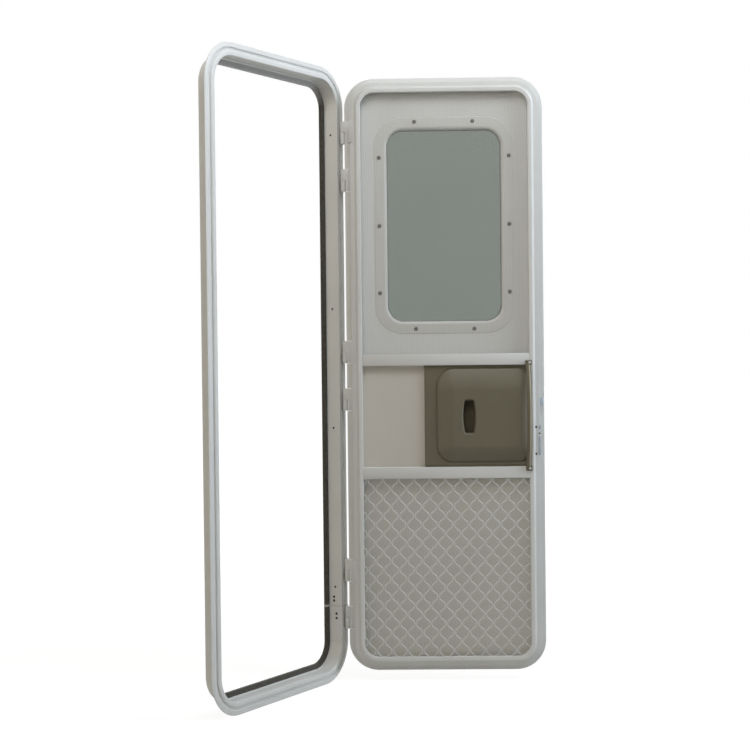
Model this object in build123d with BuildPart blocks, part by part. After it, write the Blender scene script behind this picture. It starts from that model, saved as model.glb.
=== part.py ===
import os
from math import cos, radians, sin

from build123d import *

os.makedirs("parts", exist_ok=True)

# Leaf outline and the angle at which both leaves stand open
leaf_width = 622.0
leaf_height = 1869.0
leaf_corner = 93.0
open_angle = 122.0
run_gap = 5.0
contact_gap = 0.5

# Jamb section: offsets from the leaf outline, outward positive; depths from the wall face, inside positive
flange_overlap = 29.0
flange_edge = 1.2
flange_bevel = 3.0
flange_shoulder = 2.6
flange_crest = 4.5
groove_outer = 13.5
groove_inner = 6.5
groove_floor = 1.2
crest_round = 2.5
lip_depth = -7.0
lip_round = 2.5
reveal_edge = -10.0
reveal_depth = 51.0
jamb_wall = 2.5
rib_depth = 37.0
rib_thick = 1.5
rib_reach = 4.0
pile_low = rib_depth + rib_thick
pile_high = 49.0
pile_edge = -29.0

# Main leaf section
rim_thick = 3.0
rim_edge = 1.0
rim_shelf = 4.0
rim_rise = 2.0
rim_root = -22.0
trim_web = 3.0
core_thick = 27.6
skin_thick = 1.2
main_inside = 4.0
rim_inside = lip_depth - run_gap
rim_outside = rim_inside - rim_thick
main_outside = main_inside - core_thick - 2 * skin_thick

# Screen leaf section
screen_back = main_inside + 7.0
screen_edge = -17.0
screen_flange_thick = 3.0
screen_step_edge = -31.0
screen_crown_edge = -37.0
bay_edge = -50.0
screen_face = 29.0
screen_wall = 2.0
screen_flange_face = screen_back + screen_flange_thick

# Rails of the screen leaf, heights from mid-leaf
rail_height = 36.0
upper_rail_mid = 49.0
lower_rail_mid = -306.0
mesh_thick = 0.8
mesh_level = 17.0
mesh_gap = 0.3

# Hinge line
hinge_gap = 5.0
axis_stand = 4.0
pin_radius = 3.0
bore_clear = 0.06
barrel_radius = 7.0
block_height = 70.0
block_shift = 75.0
hinge_rise = 692.0
knuckle_gap = 0.5
arm_thick = 3.0
arm_plate = 2.0
knuckle_skip = 9.0
foot_top = -7.0
riser_edge = 8.0
main_arm_reach = 12.0
screen_tab = 8.0
screen_tab_thick = 2.0

# Window of the main leaf, heights from mid-leaf
window_mid = 470.0
pane_width = 358.0
pane_height = 601.0
pane_corner = 50.0
ring_width = 443.0
ring_height = 674.0
ring_corner = 90.0
hole_margin = 22.0
pane_margin = 15.0
pane_thick = 6.0
ring_thick = 3.0
ring_bevel = 1.5
sleeve_wall = 5.0

# Lock of the main leaf
lock_rise = -86.0
case_length = 58.0
case_height = 84.0
case_thick = 19.0
bolt_length = 50.0
bolt_height = 22.0
bolt_thick = 3.5
bolt_tip = -5.0
bolt_drop = 2.5
bolt_travel = 10.0
strike_clear = 1.5
strike_height = 70.0
strike_thick = 1.0
strike_gap = 3.0

# Outside handle and inside lock plate
plate_width = 96.0
plate_height = 150.0
plate_thick = 3.0
plate_corner = 14.0
plate_inset = 100.0
paddle_width = 62.0
paddle_height = 66.0
paddle_thick = 6.0
inner_plate_width = 50.0
inner_plate_height = 120.0
knob_radius = 14.0
knob_rise = 4.0

# Slider, fixed panel and pull handle
slider_width = 325.0
slider_base = 3.0
slider_crown = 5.0
slider_taper = 40.0
slider_end_gap = 3.0
slider_level = 18.0
slider_gap = 4.0
tongue_reach = 4.0
tongue_thick = 2.0
runner_gap = 0.1
slot_level = slider_level - runner_gap
slot_height = tongue_thick + 2 * runner_gap
field_inset = 40.0
field_corner = 26.0
recess_width = 39.0
recess_height = 110.0
recess_bulge = 6.0
recess_floor = 1.5
recess_start = 139.0
fixed_level = 11.5
fixed_thick = 1.5
handle_height = 345.0
handle_width = 11.0
handle_thick = 6.0
handle_bow = 20.0
handle_foot = 16.0
handle_inset = 1.0

# Diamond grille
grille_pitch_x = 49.0
grille_pitch_z = 56.6
grille_bar = 3.2
grille_level = 20.0
grille_depth = 6.0

# Jamb fixings, heights from mid-leaf
screw_rises = (-671.0, -165.0, 212.0, 761.0)
screw_radius = 2.25
screw_depth = 18.5
joint_rise = -731.0
joint_length = 90.0
joint_low = 8.0
joint_width = 22.0
joint_thick = 1.5
forend_rise = -207.0
forend_height = 100.0
forend_thick = 1.5

# Derived frames: both leaves turn on the hinge axis, the wall flange carries the origin
half_width = leaf_width / 2
half_height = leaf_height / 2
flange_middle = flange_overlap / 2
mid_rise = half_height + flange_middle
axis_x = half_width + hinge_gap
axis_y = rim_outside - axis_stand
turn_cos = cos(radians(open_angle))
turn_sin = sin(radians(open_angle))
leaf_dir = (-turn_cos, -turn_sin, 0)
leaf_normal = (-turn_sin, turn_cos, 0)
leaf_mid_x = axis_x - turn_cos * axis_x + turn_sin * axis_y
leaf_mid_y = axis_y - turn_sin * axis_x - turn_cos * axis_y

jamb_plane = Plane(origin=(0, 0, mid_rise), x_dir=(-1, 0, 0), z_dir=(0, 1, 0))
leaf_plane = Plane(origin=(leaf_mid_x, leaf_mid_y, mid_rise), x_dir=leaf_dir, z_dir=leaf_normal)


def outline(plane, level, outer, inner=None):
    with BuildSketch(plane.offset(level)) as ring:
        RectangleRounded(leaf_width + 2 * outer, leaf_height + 2 * outer, leaf_corner + outer)
        if inner is not None:
            RectangleRounded(
                leaf_width + 2 * inner, leaf_height + 2 * inner, leaf_corner + inner, mode=Mode.SUBTRACT
            )
    return ring.sketch


def section(plane, points):
    path = outline(plane, 0, 0).face().outer_wire()
    outward = (path % 0).cross(plane.z_dir)
    with BuildSketch(Plane(origin=path @ 0, x_dir=outward, z_dir=outward.cross(plane.z_dir))) as profile:
        with BuildLine():
            Polyline(*points, close=True)
        make_face()
    return profile.sketch, path


def patch(plane, level, x_low, x_high, z_low, z_high):
    with BuildSketch(plane.offset(level)) as face:
        with Locations(((x_low + x_high) / 2, (z_low + z_high) / 2)):
            Rectangle(x_high - x_low, z_high - z_low)
    return face.sketch


def rounded(plane, level, x_mid, z_mid, width, height, corner):
    with BuildSketch(plane.offset(level)) as face:
        with Locations((x_mid, z_mid)):
            RectangleRounded(width, height, corner)
    return face.sketch


def level_plane(rise, direction):
    return Plane(origin=(axis_x, axis_y, mid_rise + rise), x_dir=direction, z_dir=(0, 0, 1))


def disc(rise, radius):
    with BuildSketch(level_plane(rise, (1, 0, 0))) as round_face:
        Circle(radius)
    return round_face.sketch


def strip(rise, direction, u_low, u_high, v_low, v_high):
    with BuildSketch(level_plane(rise, direction)) as face:
        with Locations(((u_low + u_high) / 2, (v_low + v_high) / 2)):
            Rectangle(u_high - u_low, v_high - v_low)
    return face.sketch


def depth_v(depth):
    return axis_y - depth


def bracket(rise, points):
    with BuildSketch(level_plane(rise, (-1, 0, 0))) as face:
        with BuildLine():
            Polyline(*[(hinge_gap - offset, depth_v(depth)) for offset, depth in points], close=True)
        make_face()
    return face.sketch


hinge_rises = (hinge_rise, 0.0, -hinge_rise)
hinge_names = ("upper", "middle", "lower")

# Jamb: one bent section swept round the doorway, listed from the flange's outer edge inward
jamb_profile, jamb_path = section(
    jamb_plane,
    (
        (flange_overlap, 0),
        (flange_overlap, -flange_edge),
        (flange_overlap - flange_bevel, -flange_shoulder),
        (groove_outer + crest_round, -flange_crest),
        (groove_outer, crest_round / 4 - flange_crest),
        (groove_outer, -groove_floor),
        (groove_inner, -groove_floor),
        (groove_inner - lip_round / 2, lip_depth + lip_round),
        (groove_inner - 2 * lip_round, lip_depth + lip_round / 4),
        (groove_inner - 3 * lip_round, lip_depth),
        (reveal_edge + lip_round, lip_depth),
        (reveal_edge + lip_round / 4, lip_depth + lip_round / 4),
        (reveal_edge, lip_depth + lip_round),
        (reveal_edge, rib_depth),
        (reveal_edge - rib_reach, rib_depth),
        (reveal_edge - rib_reach, pile_low),
        (reveal_edge, pile_low),
        (reveal_edge, pile_high),
        (reveal_edge - rib_reach, pile_high),
        (reveal_edge - rib_reach, reveal_depth),
        (reveal_edge + jamb_wall, reveal_depth),
        (reveal_edge + jamb_wall, 0),
    ),
)
with BuildPart() as jamb_frame:
    sweep(jamb_profile, path=jamb_path)
    for rise in screw_rises:
        with BuildSketch(Plane(origin=(0, screw_depth, mid_rise + rise), x_dir=(0, 1, 0), z_dir=(1, 0, 0))):
            Circle(screw_radius)
        extrude(amount=half_width, both=True, mode=Mode.SUBTRACT)
    extrude(
        patch(
            jamb_plane,
            main_inside - bolt_drop - bolt_thick - strike_clear,
            half_width + reveal_edge - jamb_wall,
            half_width + bolt_tip + strike_clear,
            lock_rise - bolt_height / 2 - strike_clear,
            lock_rise + bolt_height / 2 + strike_clear,
        ),
        amount=bolt_thick + 2 * strike_clear,
        mode=Mode.SUBTRACT,
    )
jamb_frame.part.label = "jamb_frame"
export_step(jamb_frame.part, "parts/jamb_frame.step")

with BuildPart() as pile_strip:
    extrude(outline(jamb_plane, pile_low, reveal_edge, pile_edge), amount=pile_high - pile_low)
pile_strip.part.label = "pile_strip"
export_step(pile_strip.part, "parts/pile_strip.step")

with BuildPart() as joint_plate:
    extrude(
        patch(
            jamb_plane,
            joint_low,
            -half_width - reveal_edge - jamb_wall - joint_thick,
            -half_width - reveal_edge - jamb_wall,
            joint_rise - joint_length / 2,
            joint_rise + joint_length / 2,
        ),
        amount=joint_width,
    )
joint_plate.part.label = "joint_plate"
export_step(joint_plate.part, "parts/joint_plate.step")

with BuildPart() as strike_plate:
    extrude(
        patch(
            jamb_plane,
            lip_depth + lip_round,
            half_width + reveal_edge - strike_thick,
            half_width + reveal_edge,
            lock_rise - strike_height / 2,
            lock_rise + strike_height / 2,
        ),
        amount=screen_back - strike_gap - lip_depth - lip_round,
    )
    extrude(
        patch(
            jamb_plane,
            main_inside - bolt_drop - bolt_thick - strike_clear,
            half_width + reveal_edge - jamb_wall,
            half_width + reveal_edge + jamb_wall,
            lock_rise - bolt_height / 2 - strike_clear,
            lock_rise + bolt_height / 2 + strike_clear,
        ),
        amount=bolt_thick + 2 * strike_clear,
        mode=Mode.SUBTRACT,
    )
strike_plate.part.label = "strike_plate"
export_step(strike_plate.part, "parts/strike_plate.step")

# Jamb halves of the hinges: a foot on the flange, a riser and half a barrel with the pin standing in it
bore_radius = pin_radius + bore_clear
knuckle = (block_height - knuckle_gap) / 2
foot_inner = groove_outer + crest_round
foot_outer = flange_overlap - flange_bevel
foot_points = (
    (foot_inner, -flange_crest),
    (foot_outer, -flange_shoulder),
    (foot_outer, foot_top),
    (foot_inner, foot_top),
)
riser_points = (
    (foot_inner, -flange_crest),
    (foot_inner, axis_y),
    (riser_edge, axis_y),
    (riser_edge, -flange_crest),
)
for leaf_name, shift in (("screen", block_shift), ("main", -block_shift)):
    for name, rise in zip(hinge_names, hinge_rises):
        block_low = rise + shift - block_height / 2
        with BuildPart() as frame_hinge:
            extrude(bracket(block_low, foot_points), amount=block_height)
            extrude(bracket(block_low, riser_points), amount=knuckle)
            extrude(disc(block_low, barrel_radius), amount=knuckle)
            extrude(disc(block_low, pin_radius), amount=block_height)
        frame_hinge.part.label = "frame_hinge_" + name + "_" + leaf_name
        export_step(frame_hinge.part, "parts/frame_hinge_" + name + "_" + leaf_name + ".step")

# Main leaf hinges: an arm in the notch of the rim, bent onto the trim web
arm_low = depth_v(rim_inside)
arm_high = depth_v(rim_outside)
main_web_u = hinge_gap - rim_root
for name, rise in zip(hinge_names, hinge_rises):
    block_low = rise - block_shift - block_height / 2
    with BuildPart() as main_hinge:
        extrude(strip(block_low, leaf_dir, knuckle_skip, main_web_u, arm_low, arm_high), amount=block_height)
        extrude(
            strip(block_low, leaf_dir, main_web_u - arm_plate, main_web_u, arm_low - main_arm_reach, arm_high),
            amount=block_height,
        )
        knuckle_low = block_low + block_height - knuckle
        extrude(strip(knuckle_low, leaf_dir, 0, main_web_u, arm_low, arm_high), amount=knuckle)
        extrude(disc(knuckle_low, barrel_radius), amount=knuckle)
        extrude(disc(knuckle_low, bore_radius), amount=knuckle, mode=Mode.SUBTRACT)
    main_hinge.part.label = "main_hinge_" + name
    export_step(main_hinge.part, "parts/main_hinge_" + name + ".step")

# Screen leaf hinges: an arm past the main leaf, bent over the screen flange
screen_u = hinge_gap - screen_edge
tab_low = depth_v(screen_flange_face + screen_tab_thick)
tab_high = depth_v(screen_flange_face)
for name, rise in zip(hinge_names, hinge_rises):
    block_low = rise + block_shift - block_height / 2
    with BuildPart() as screen_hinge:
        extrude(strip(block_low, leaf_dir, knuckle_skip, screen_u, arm_low, arm_high), amount=block_height)
        extrude(strip(block_low, leaf_dir, screen_u - arm_plate, screen_u, tab_low, arm_high), amount=block_height)
        extrude(
            strip(block_low, leaf_dir, screen_u - arm_plate, screen_u + screen_tab, tab_low, tab_high),
            amount=block_height,
        )
        knuckle_low = block_low + block_height - knuckle
        extrude(strip(knuckle_low, leaf_dir, 0, screen_u, arm_low, arm_high), amount=knuckle)
        extrude(disc(knuckle_low, barrel_radius), amount=knuckle)
        extrude(disc(knuckle_low, bore_radius), amount=knuckle, mode=Mode.SUBTRACT)
    screen_hinge.part.label = "screen_hinge_" + name
    export_step(screen_hinge.part, "parts/screen_hinge_" + name + ".step")

# Main leaf: trim with a projecting rim, two skins and a core with a window hole
web_inner = rim_root - trim_web
bolt_high = main_inside - bolt_drop
bolt_low = bolt_high - bolt_thick
rim_crown = rim_inside + rim_rise
trim_profile, trim_path = section(
    leaf_plane,
    (
        (web_inner, main_outside),
        (rim_root, main_outside),
        (rim_root, rim_outside),
        (0, rim_outside),
        (0, rim_outside + rim_edge),
        (rim_root + rim_shelf, rim_crown),
        (rim_root, rim_crown),
        (rim_root, main_inside),
        (web_inner, main_inside),
    ),
)
with BuildPart() as edge_trim:
    sweep(trim_profile, path=trim_path)
    for rise in hinge_rises:
        for shift, margin in ((-block_shift, 1.0), (block_shift, run_gap)):
            extrude(
                patch(
                    leaf_plane,
                    rim_outside - rim_thick,
                    -half_width - rim_thick,
                    -half_width - rim_root,
                    rise + shift - block_height / 2 - margin,
                    rise + shift + block_height / 2 + margin,
                ),
                amount=3 * rim_thick,
                mode=Mode.SUBTRACT,
            )
    extrude(
        patch(
            leaf_plane,
            bolt_low - contact_gap,
            half_width + web_inner - trim_web,
            half_width + rim_root + trim_web,
            lock_rise - bolt_height / 2 - contact_gap,
            lock_rise + bolt_height / 2 + contact_gap,
        ),
        amount=bolt_thick + 2 * contact_gap,
        mode=Mode.SUBTRACT,
    )
edge_trim.part.label = "edge_trim"
export_step(edge_trim.part, "parts/edge_trim.step")

hole_width = pane_width + 2 * hole_margin
hole_height = pane_height + 2 * hole_margin
hole_corner = pane_corner + hole_margin
with BuildPart() as outer_skin:
    extrude(outline(leaf_plane, main_outside, web_inner), amount=skin_thick)
    extrude(
        rounded(leaf_plane, main_outside, 0, window_mid, hole_width, hole_height, hole_corner),
        amount=skin_thick,
        mode=Mode.SUBTRACT,
    )
outer_skin.part.label = "outer_skin"
export_step(outer_skin.part, "parts/outer_skin.step")

core_low = main_outside + skin_thick
case_high = core_low + core_thick
case_low = case_high - case_thick
case_end = half_width + web_inner
with BuildPart() as foam_core:
    extrude(outline(leaf_plane, core_low, web_inner), amount=core_thick)
    extrude(
        rounded(leaf_plane, core_low, 0, window_mid, hole_width, hole_height, hole_corner),
        amount=core_thick,
        mode=Mode.SUBTRACT,
    )
    extrude(
        patch(
            leaf_plane,
            case_low,
            case_end - case_length,
            case_end,
            lock_rise - case_height / 2,
            lock_rise + case_height / 2,
        ),
        amount=case_thick,
        mode=Mode.SUBTRACT,
    )
foam_core.part.label = "foam_core"
export_step(foam_core.part, "parts/foam_core.step")

with BuildPart() as inner_skin:
    extrude(outline(leaf_plane, case_high, web_inner), amount=skin_thick)
    extrude(
        rounded(leaf_plane, case_high, 0, window_mid, hole_width, hole_height, hole_corner),
        amount=skin_thick,
        mode=Mode.SUBTRACT,
    )
inner_skin.part.label = "inner_skin"
export_step(inner_skin.part, "parts/inner_skin.step")

# Window: outside ring with sleeve, pane, inside ring clamping it
sleeve_width = hole_width - 2 * contact_gap
sleeve_height = hole_height - 2 * contact_gap
sleeve_corner = hole_corner - contact_gap
clamp_width = sleeve_width - 2 * sleeve_wall
clamp_height = sleeve_height - 2 * sleeve_wall
clamp_corner = sleeve_corner - sleeve_wall
sleeve_depth = 0.5 * (main_inside - main_outside)
with BuildPart() as window_outer_frame:
    extrude(
        rounded(leaf_plane, main_outside, 0, window_mid, ring_width, ring_height, ring_corner),
        amount=-ring_thick,
    )
    extrude(
        rounded(leaf_plane, main_outside, 0, window_mid, sleeve_width, sleeve_height, sleeve_corner),
        amount=sleeve_depth,
    )
    extrude(
        rounded(leaf_plane, main_outside, 0, window_mid, clamp_width, clamp_height, clamp_corner),
        amount=sleeve_depth,
        mode=Mode.SUBTRACT,
    )
    extrude(
        rounded(leaf_plane, main_outside, 0, window_mid, pane_width, pane_height, pane_corner),
        amount=-ring_thick,
        mode=Mode.SUBTRACT,
    )
window_outer_frame.part.label = "window_outer_frame"
export_step(window_outer_frame.part, "parts/window_outer_frame.step")

with BuildPart() as window_pane:
    extrude(
        rounded(
            leaf_plane,
            main_outside,
            0,
            window_mid,
            clamp_width - 2 * contact_gap,
            clamp_height - 2 * contact_gap,
            clamp_corner - contact_gap,
        ),
        amount=pane_thick,
    )
window_pane.part.label = "window_pane"
export_step(window_pane.part, "parts/window_pane.step")

with BuildPart() as window_inner_ring:
    extrude(
        rounded(leaf_plane, main_inside, 0, window_mid, ring_width, ring_height, ring_corner), amount=ring_thick
    )
    extrude(
        rounded(
            leaf_plane,
            main_inside,
            0,
            window_mid,
            clamp_width - 2 * contact_gap,
            clamp_height - 2 * contact_gap,
            clamp_corner - contact_gap,
        ),
        amount=main_outside + pane_thick - main_inside,
    )
    extrude(
        rounded(leaf_plane, main_outside, 0, window_mid, pane_width, pane_height, pane_corner),
        amount=2 * core_thick,
        mode=Mode.SUBTRACT,
    )
    chamfer(window_inner_ring.faces().sort_by(Axis(leaf_plane.origin, leaf_plane.z_dir))[-1].edges(), ring_bevel)
window_inner_ring.part.label = "window_inner_ring"
export_step(window_inner_ring.part, "parts/window_inner_ring.step")

# Lock of the main leaf
with BuildPart() as lock_case:
    extrude(
        patch(
            leaf_plane,
            case_low,
            case_end - case_length,
            case_end,
            lock_rise - case_height / 2,
            lock_rise + case_height / 2,
        ),
        amount=case_thick,
    )
    extrude(
        patch(
            leaf_plane,
            bolt_low - contact_gap,
            half_width + bolt_tip - bolt_length - bolt_travel - contact_gap,
            case_end + trim_web,
            lock_rise - bolt_height / 2 - contact_gap,
            lock_rise + bolt_height / 2 + contact_gap,
        ),
        amount=bolt_thick + 2 * contact_gap,
        mode=Mode.SUBTRACT,
    )
lock_case.part.label = "lock_case"
export_step(lock_case.part, "parts/lock_case.step")

with BuildPart() as latch_bolt:
    extrude(
        patch(
            leaf_plane,
            bolt_low,
            half_width + bolt_tip - bolt_length,
            half_width + bolt_tip,
            lock_rise - bolt_height / 2,
            lock_rise + bolt_height / 2,
        ),
        amount=bolt_thick,
    )
latch_bolt.part.label = "latch_bolt"
export_step(latch_bolt.part, "parts/latch_bolt.step")

plate_mid = half_width - plate_inset
with BuildPart() as outer_handle:
    extrude(
        rounded(leaf_plane, main_outside, plate_mid, lock_rise, plate_width, plate_height, plate_corner),
        amount=-plate_thick,
    )
    extrude(
        rounded(
            leaf_plane,
            main_outside - plate_thick,
            plate_mid,
            lock_rise + plate_height / 8,
            paddle_width,
            paddle_height,
            plate_corner / 2,
        ),
        amount=-paddle_thick,
    )
    with BuildSketch(leaf_plane.offset(main_outside - plate_thick)):
        with Locations((plate_mid, lock_rise - 3 * plate_height / 8)):
            Circle(knob_radius)
    extrude(amount=-paddle_thick / 2)
outer_handle.part.label = "outer_handle"
export_step(outer_handle.part, "parts/outer_handle.step")

with BuildPart() as inner_lock_plate:
    extrude(
        rounded(
            leaf_plane, main_inside, plate_mid, lock_rise, inner_plate_width, inner_plate_height, plate_corner
        ),
        amount=skin_thick,
    )
    with BuildSketch(leaf_plane.offset(main_inside + skin_thick)):
        with Locations((plate_mid, lock_rise)):
            Circle(knob_radius)
    extrude(amount=knob_rise)
inner_lock_plate.part.label = "inner_lock_plate"
export_step(inner_lock_plate.part, "parts/inner_lock_plate.step")

# Screen leaf frame: flange, sloped step and crown, hollow from behind
bay_half = half_width + bay_edge
bay_rise = half_height + bay_edge
step_slope = (screen_step_edge - screen_crown_edge) / (screen_face - screen_flange_face)
step_wall = screen_wall * (1 + step_slope**2) ** 0.5
screen_under = screen_face - screen_wall
screen_profile, screen_path = section(
    leaf_plane,
    (
        (screen_edge, screen_back),
        (screen_edge, screen_flange_face),
        (screen_step_edge, screen_flange_face),
        (screen_crown_edge, screen_face),
        (bay_edge, screen_face),
        (bay_edge, screen_back),
        (bay_edge + screen_wall, screen_back),
        (bay_edge + screen_wall, screen_under),
        (screen_crown_edge + step_slope * screen_wall - step_wall, screen_under),
        (screen_step_edge + step_slope * screen_flange_thick - step_wall, screen_back),
    ),
)
with BuildPart() as screen_frame:
    sweep(screen_profile, path=screen_path)
screen_frame.part.label = "screen_frame"
export_step(screen_frame.part, "parts/screen_frame.step")

middle_low = lower_rail_mid + rail_height / 2
middle_high = upper_rail_mid - rail_height / 2
middle_mid = (middle_low + middle_high) / 2
middle_half = (middle_high - middle_low) / 2
for rail_name, rail_mid, slot_side in (("upper_rail", upper_rail_mid, -1), ("lower_rail", lower_rail_mid, 1)):
    slot_mid = rail_mid + slot_side * (rail_height / 2 - screen_wall / 2)
    with BuildPart() as rail:
        extrude(
            patch(
                leaf_plane,
                screen_back,
                -bay_half,
                bay_half,
                rail_mid - rail_height / 2,
                rail_mid + rail_height / 2,
            ),
            amount=screen_face - screen_back,
        )
        extrude(
            patch(
                leaf_plane,
                screen_back,
                -bay_half + screen_wall,
                bay_half - screen_wall,
                rail_mid - rail_height / 2 + screen_wall,
                rail_mid + rail_height / 2 - screen_wall,
            ),
            amount=screen_face - screen_wall - screen_back,
            mode=Mode.SUBTRACT,
        )
        extrude(
            patch(
                leaf_plane,
                slot_level,
                -bay_half + screen_wall,
                bay_half - screen_wall,
                slot_mid - screen_wall,
                slot_mid + screen_wall,
            ),
            amount=slot_height,
            mode=Mode.SUBTRACT,
        )
    rail.part.label = rail_name
    export_step(rail.part, "parts/" + rail_name + ".step")

upper_low = upper_rail_mid + rail_height / 2
lower_high = lower_rail_mid - rail_height / 2
with BuildPart() as upper_mesh:
    extrude(outline(leaf_plane, mesh_level, bay_edge - mesh_gap), amount=mesh_thick)
    extrude(
        patch(leaf_plane, mesh_level, -bay_half, bay_half, -bay_rise, upper_low + mesh_gap),
        amount=mesh_thick,
        mode=Mode.SUBTRACT,
    )
upper_mesh.part.label = "upper_mesh"
export_step(upper_mesh.part, "parts/upper_mesh.step")

with BuildPart() as lower_mesh:
    extrude(outline(leaf_plane, mesh_level, bay_edge - mesh_gap), amount=mesh_thick)
    extrude(
        patch(leaf_plane, mesh_level, -bay_half, bay_half, lower_high - mesh_gap, bay_rise),
        amount=mesh_thick,
        mode=Mode.SUBTRACT,
    )
lower_mesh.part.label = "lower_mesh"
export_step(lower_mesh.part, "parts/lower_mesh.step")

# Diamond grille of the lower bay, bars fused where they cross
grille_mid = (lower_high - bay_rise) / 2
grille_height = lower_high + bay_rise
bar_length = 2 * (grille_height + 2 * bay_half)
bar_slope = Vector(grille_pitch_x, grille_pitch_z).get_angle(Vector(1, 0))
line_count = int(bay_half / grille_pitch_x + grille_height / 2 / grille_pitch_z) + 1
with BuildPart() as diamond_grille:
    with BuildSketch(leaf_plane.offset(grille_level)) as lattice:
        for slope in (bar_slope, -bar_slope):
            for step in range(-line_count, line_count + 1):
                with Locations(Location((step * grille_pitch_x, grille_mid, 0), (0, 0, slope))):
                    Rectangle(bar_length, grille_bar)
        with Locations((0, grille_mid)):
            Rectangle(2 * bay_half, grille_height, mode=Mode.INTERSECT)
    extrude(amount=grille_depth)
    extrude(outline(leaf_plane, grille_level, bay_edge, bay_edge - grille_bar), amount=grille_depth)
    extrude(outline(leaf_plane, grille_level, 0, bay_edge), amount=grille_depth, mode=Mode.SUBTRACT)
    extrude(
        patch(leaf_plane, grille_level, -bay_half, bay_half, lower_high - grille_bar, lower_high),
        amount=grille_depth,
    )
    extrude(
        patch(leaf_plane, grille_level, -bay_half, bay_half, lower_high, bay_rise),
        amount=grille_depth,
        mode=Mode.SUBTRACT,
    )
diamond_grille.part.label = "diamond_grille"
export_step(diamond_grille.part, "parts/diamond_grille.step")

# Middle bay: fixed panel at the hinge side, slider that runs over it
slider_end = bay_half - slider_end_gap
slider_start = slider_end - slider_width
with BuildPart() as fixed_panel:
    extrude(
        patch(leaf_plane, fixed_level, -bay_half, slider_start, middle_low, middle_high), amount=fixed_thick
    )
fixed_panel.part.label = "fixed_panel"
export_step(fixed_panel.part, "parts/fixed_panel.step")

field_start = slider_start + field_inset
field_mid = (field_start + slider_end) / 2
field_width = slider_end - field_start
slider_half = middle_half - slider_gap
recess_mid = slider_start + recess_start
with BuildPart() as slider_panel:
    extrude(
        patch(
            leaf_plane,
            slider_level,
            slider_start,
            slider_end,
            middle_mid - slider_half,
            middle_mid + slider_half,
        ),
        amount=slider_base,
    )
    extrude(
        patch(
            leaf_plane,
            slider_level,
            slider_start,
            slider_end,
            middle_low - tongue_reach,
            middle_high + tongue_reach,
        ),
        amount=tongue_thick,
    )
    extrude(
        rounded(
            leaf_plane,
            slider_level + slider_base,
            field_mid,
            middle_mid,
            field_width,
            2 * slider_half - 2 * slider_crown,
            field_corner,
        ),
        amount=slider_crown,
        taper=slider_taper,
    )
    with BuildSketch(leaf_plane.offset(slider_level + recess_floor)):
        with BuildLine():
            Line(
                (recess_mid - recess_width / 2, middle_mid - recess_height / 2),
                (recess_mid + recess_width / 2, middle_mid - recess_height / 2),
            )
            ThreePointArc(
                (recess_mid + recess_width / 2, middle_mid - recess_height / 2),
                (recess_mid + recess_width / 2 + recess_bulge, middle_mid),
                (recess_mid + recess_width / 2, middle_mid + recess_height / 2),
            )
            Line(
                (recess_mid + recess_width / 2, middle_mid + recess_height / 2),
                (recess_mid - recess_width / 2, middle_mid + recess_height / 2),
            )
            ThreePointArc(
                (recess_mid - recess_width / 2, middle_mid + recess_height / 2),
                (recess_mid - recess_width / 2 - recess_bulge, middle_mid),
                (recess_mid - recess_width / 2, middle_mid - recess_height / 2),
            )
        make_face()
    extrude(amount=slider_base + slider_crown, mode=Mode.SUBTRACT)
slider_panel.part.label = "slider_panel"
export_step(slider_panel.part, "parts/slider_panel.step")

# Pull handle: a bowed strap with a foot at each end
handle_plane = Plane(
    origin=leaf_plane.from_local_coords(Vector(bay_half + handle_inset, middle_mid, screen_face)),
    x_dir=(0, 0, 1),
    z_dir=leaf_dir,
)
handle_half = handle_height / 2
with BuildPart() as pull_handle:
    with BuildSketch(handle_plane):
        with BuildLine():
            Line((-handle_half, 0), (-handle_half + handle_foot, 0))
            ThreePointArc((-handle_half + handle_foot, 0), (0, handle_bow), (handle_half - handle_foot, 0))
            Line((handle_half - handle_foot, 0), (handle_half, 0))
            Line((handle_half, 0), (handle_half, handle_thick))
            Line((handle_half, handle_thick), (handle_half - handle_foot, handle_thick))
            ThreePointArc(
                (handle_half - handle_foot, handle_thick),
                (0, handle_bow + handle_thick),
                (-handle_half + handle_foot, handle_thick),
            )
            Line((-handle_half + handle_foot, handle_thick), (-handle_half, handle_thick))
            Line((-handle_half, handle_thick), (-handle_half, 0))
        make_face()
    extrude(amount=handle_width / 2, both=True)
pull_handle.part.label = "pull_handle"
export_step(pull_handle.part, "parts/pull_handle.step")

# Lock forend of the screen leaf: an angle over the flange edge
forend_low = forend_rise - forend_height / 2
forend_high = forend_rise + forend_height / 2
screen_side = half_width + screen_edge
with BuildPart() as screen_forend:
    extrude(
        patch(
            leaf_plane,
            screen_flange_face,
            screen_side - 0.8 * (screen_edge - screen_step_edge),
            screen_side + forend_thick,
            forend_low,
            forend_high,
        ),
        amount=forend_thick,
    )
    extrude(
        patch(leaf_plane, screen_back, screen_side, screen_side + forend_thick, forend_low, forend_high),
        amount=screen_flange_thick,
    )
screen_forend.part.label = "screen_forend"
export_step(screen_forend.part, "parts/screen_forend.step")
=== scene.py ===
import math

import bmesh
import bpy
from mathutils import Matrix, Vector


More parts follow.
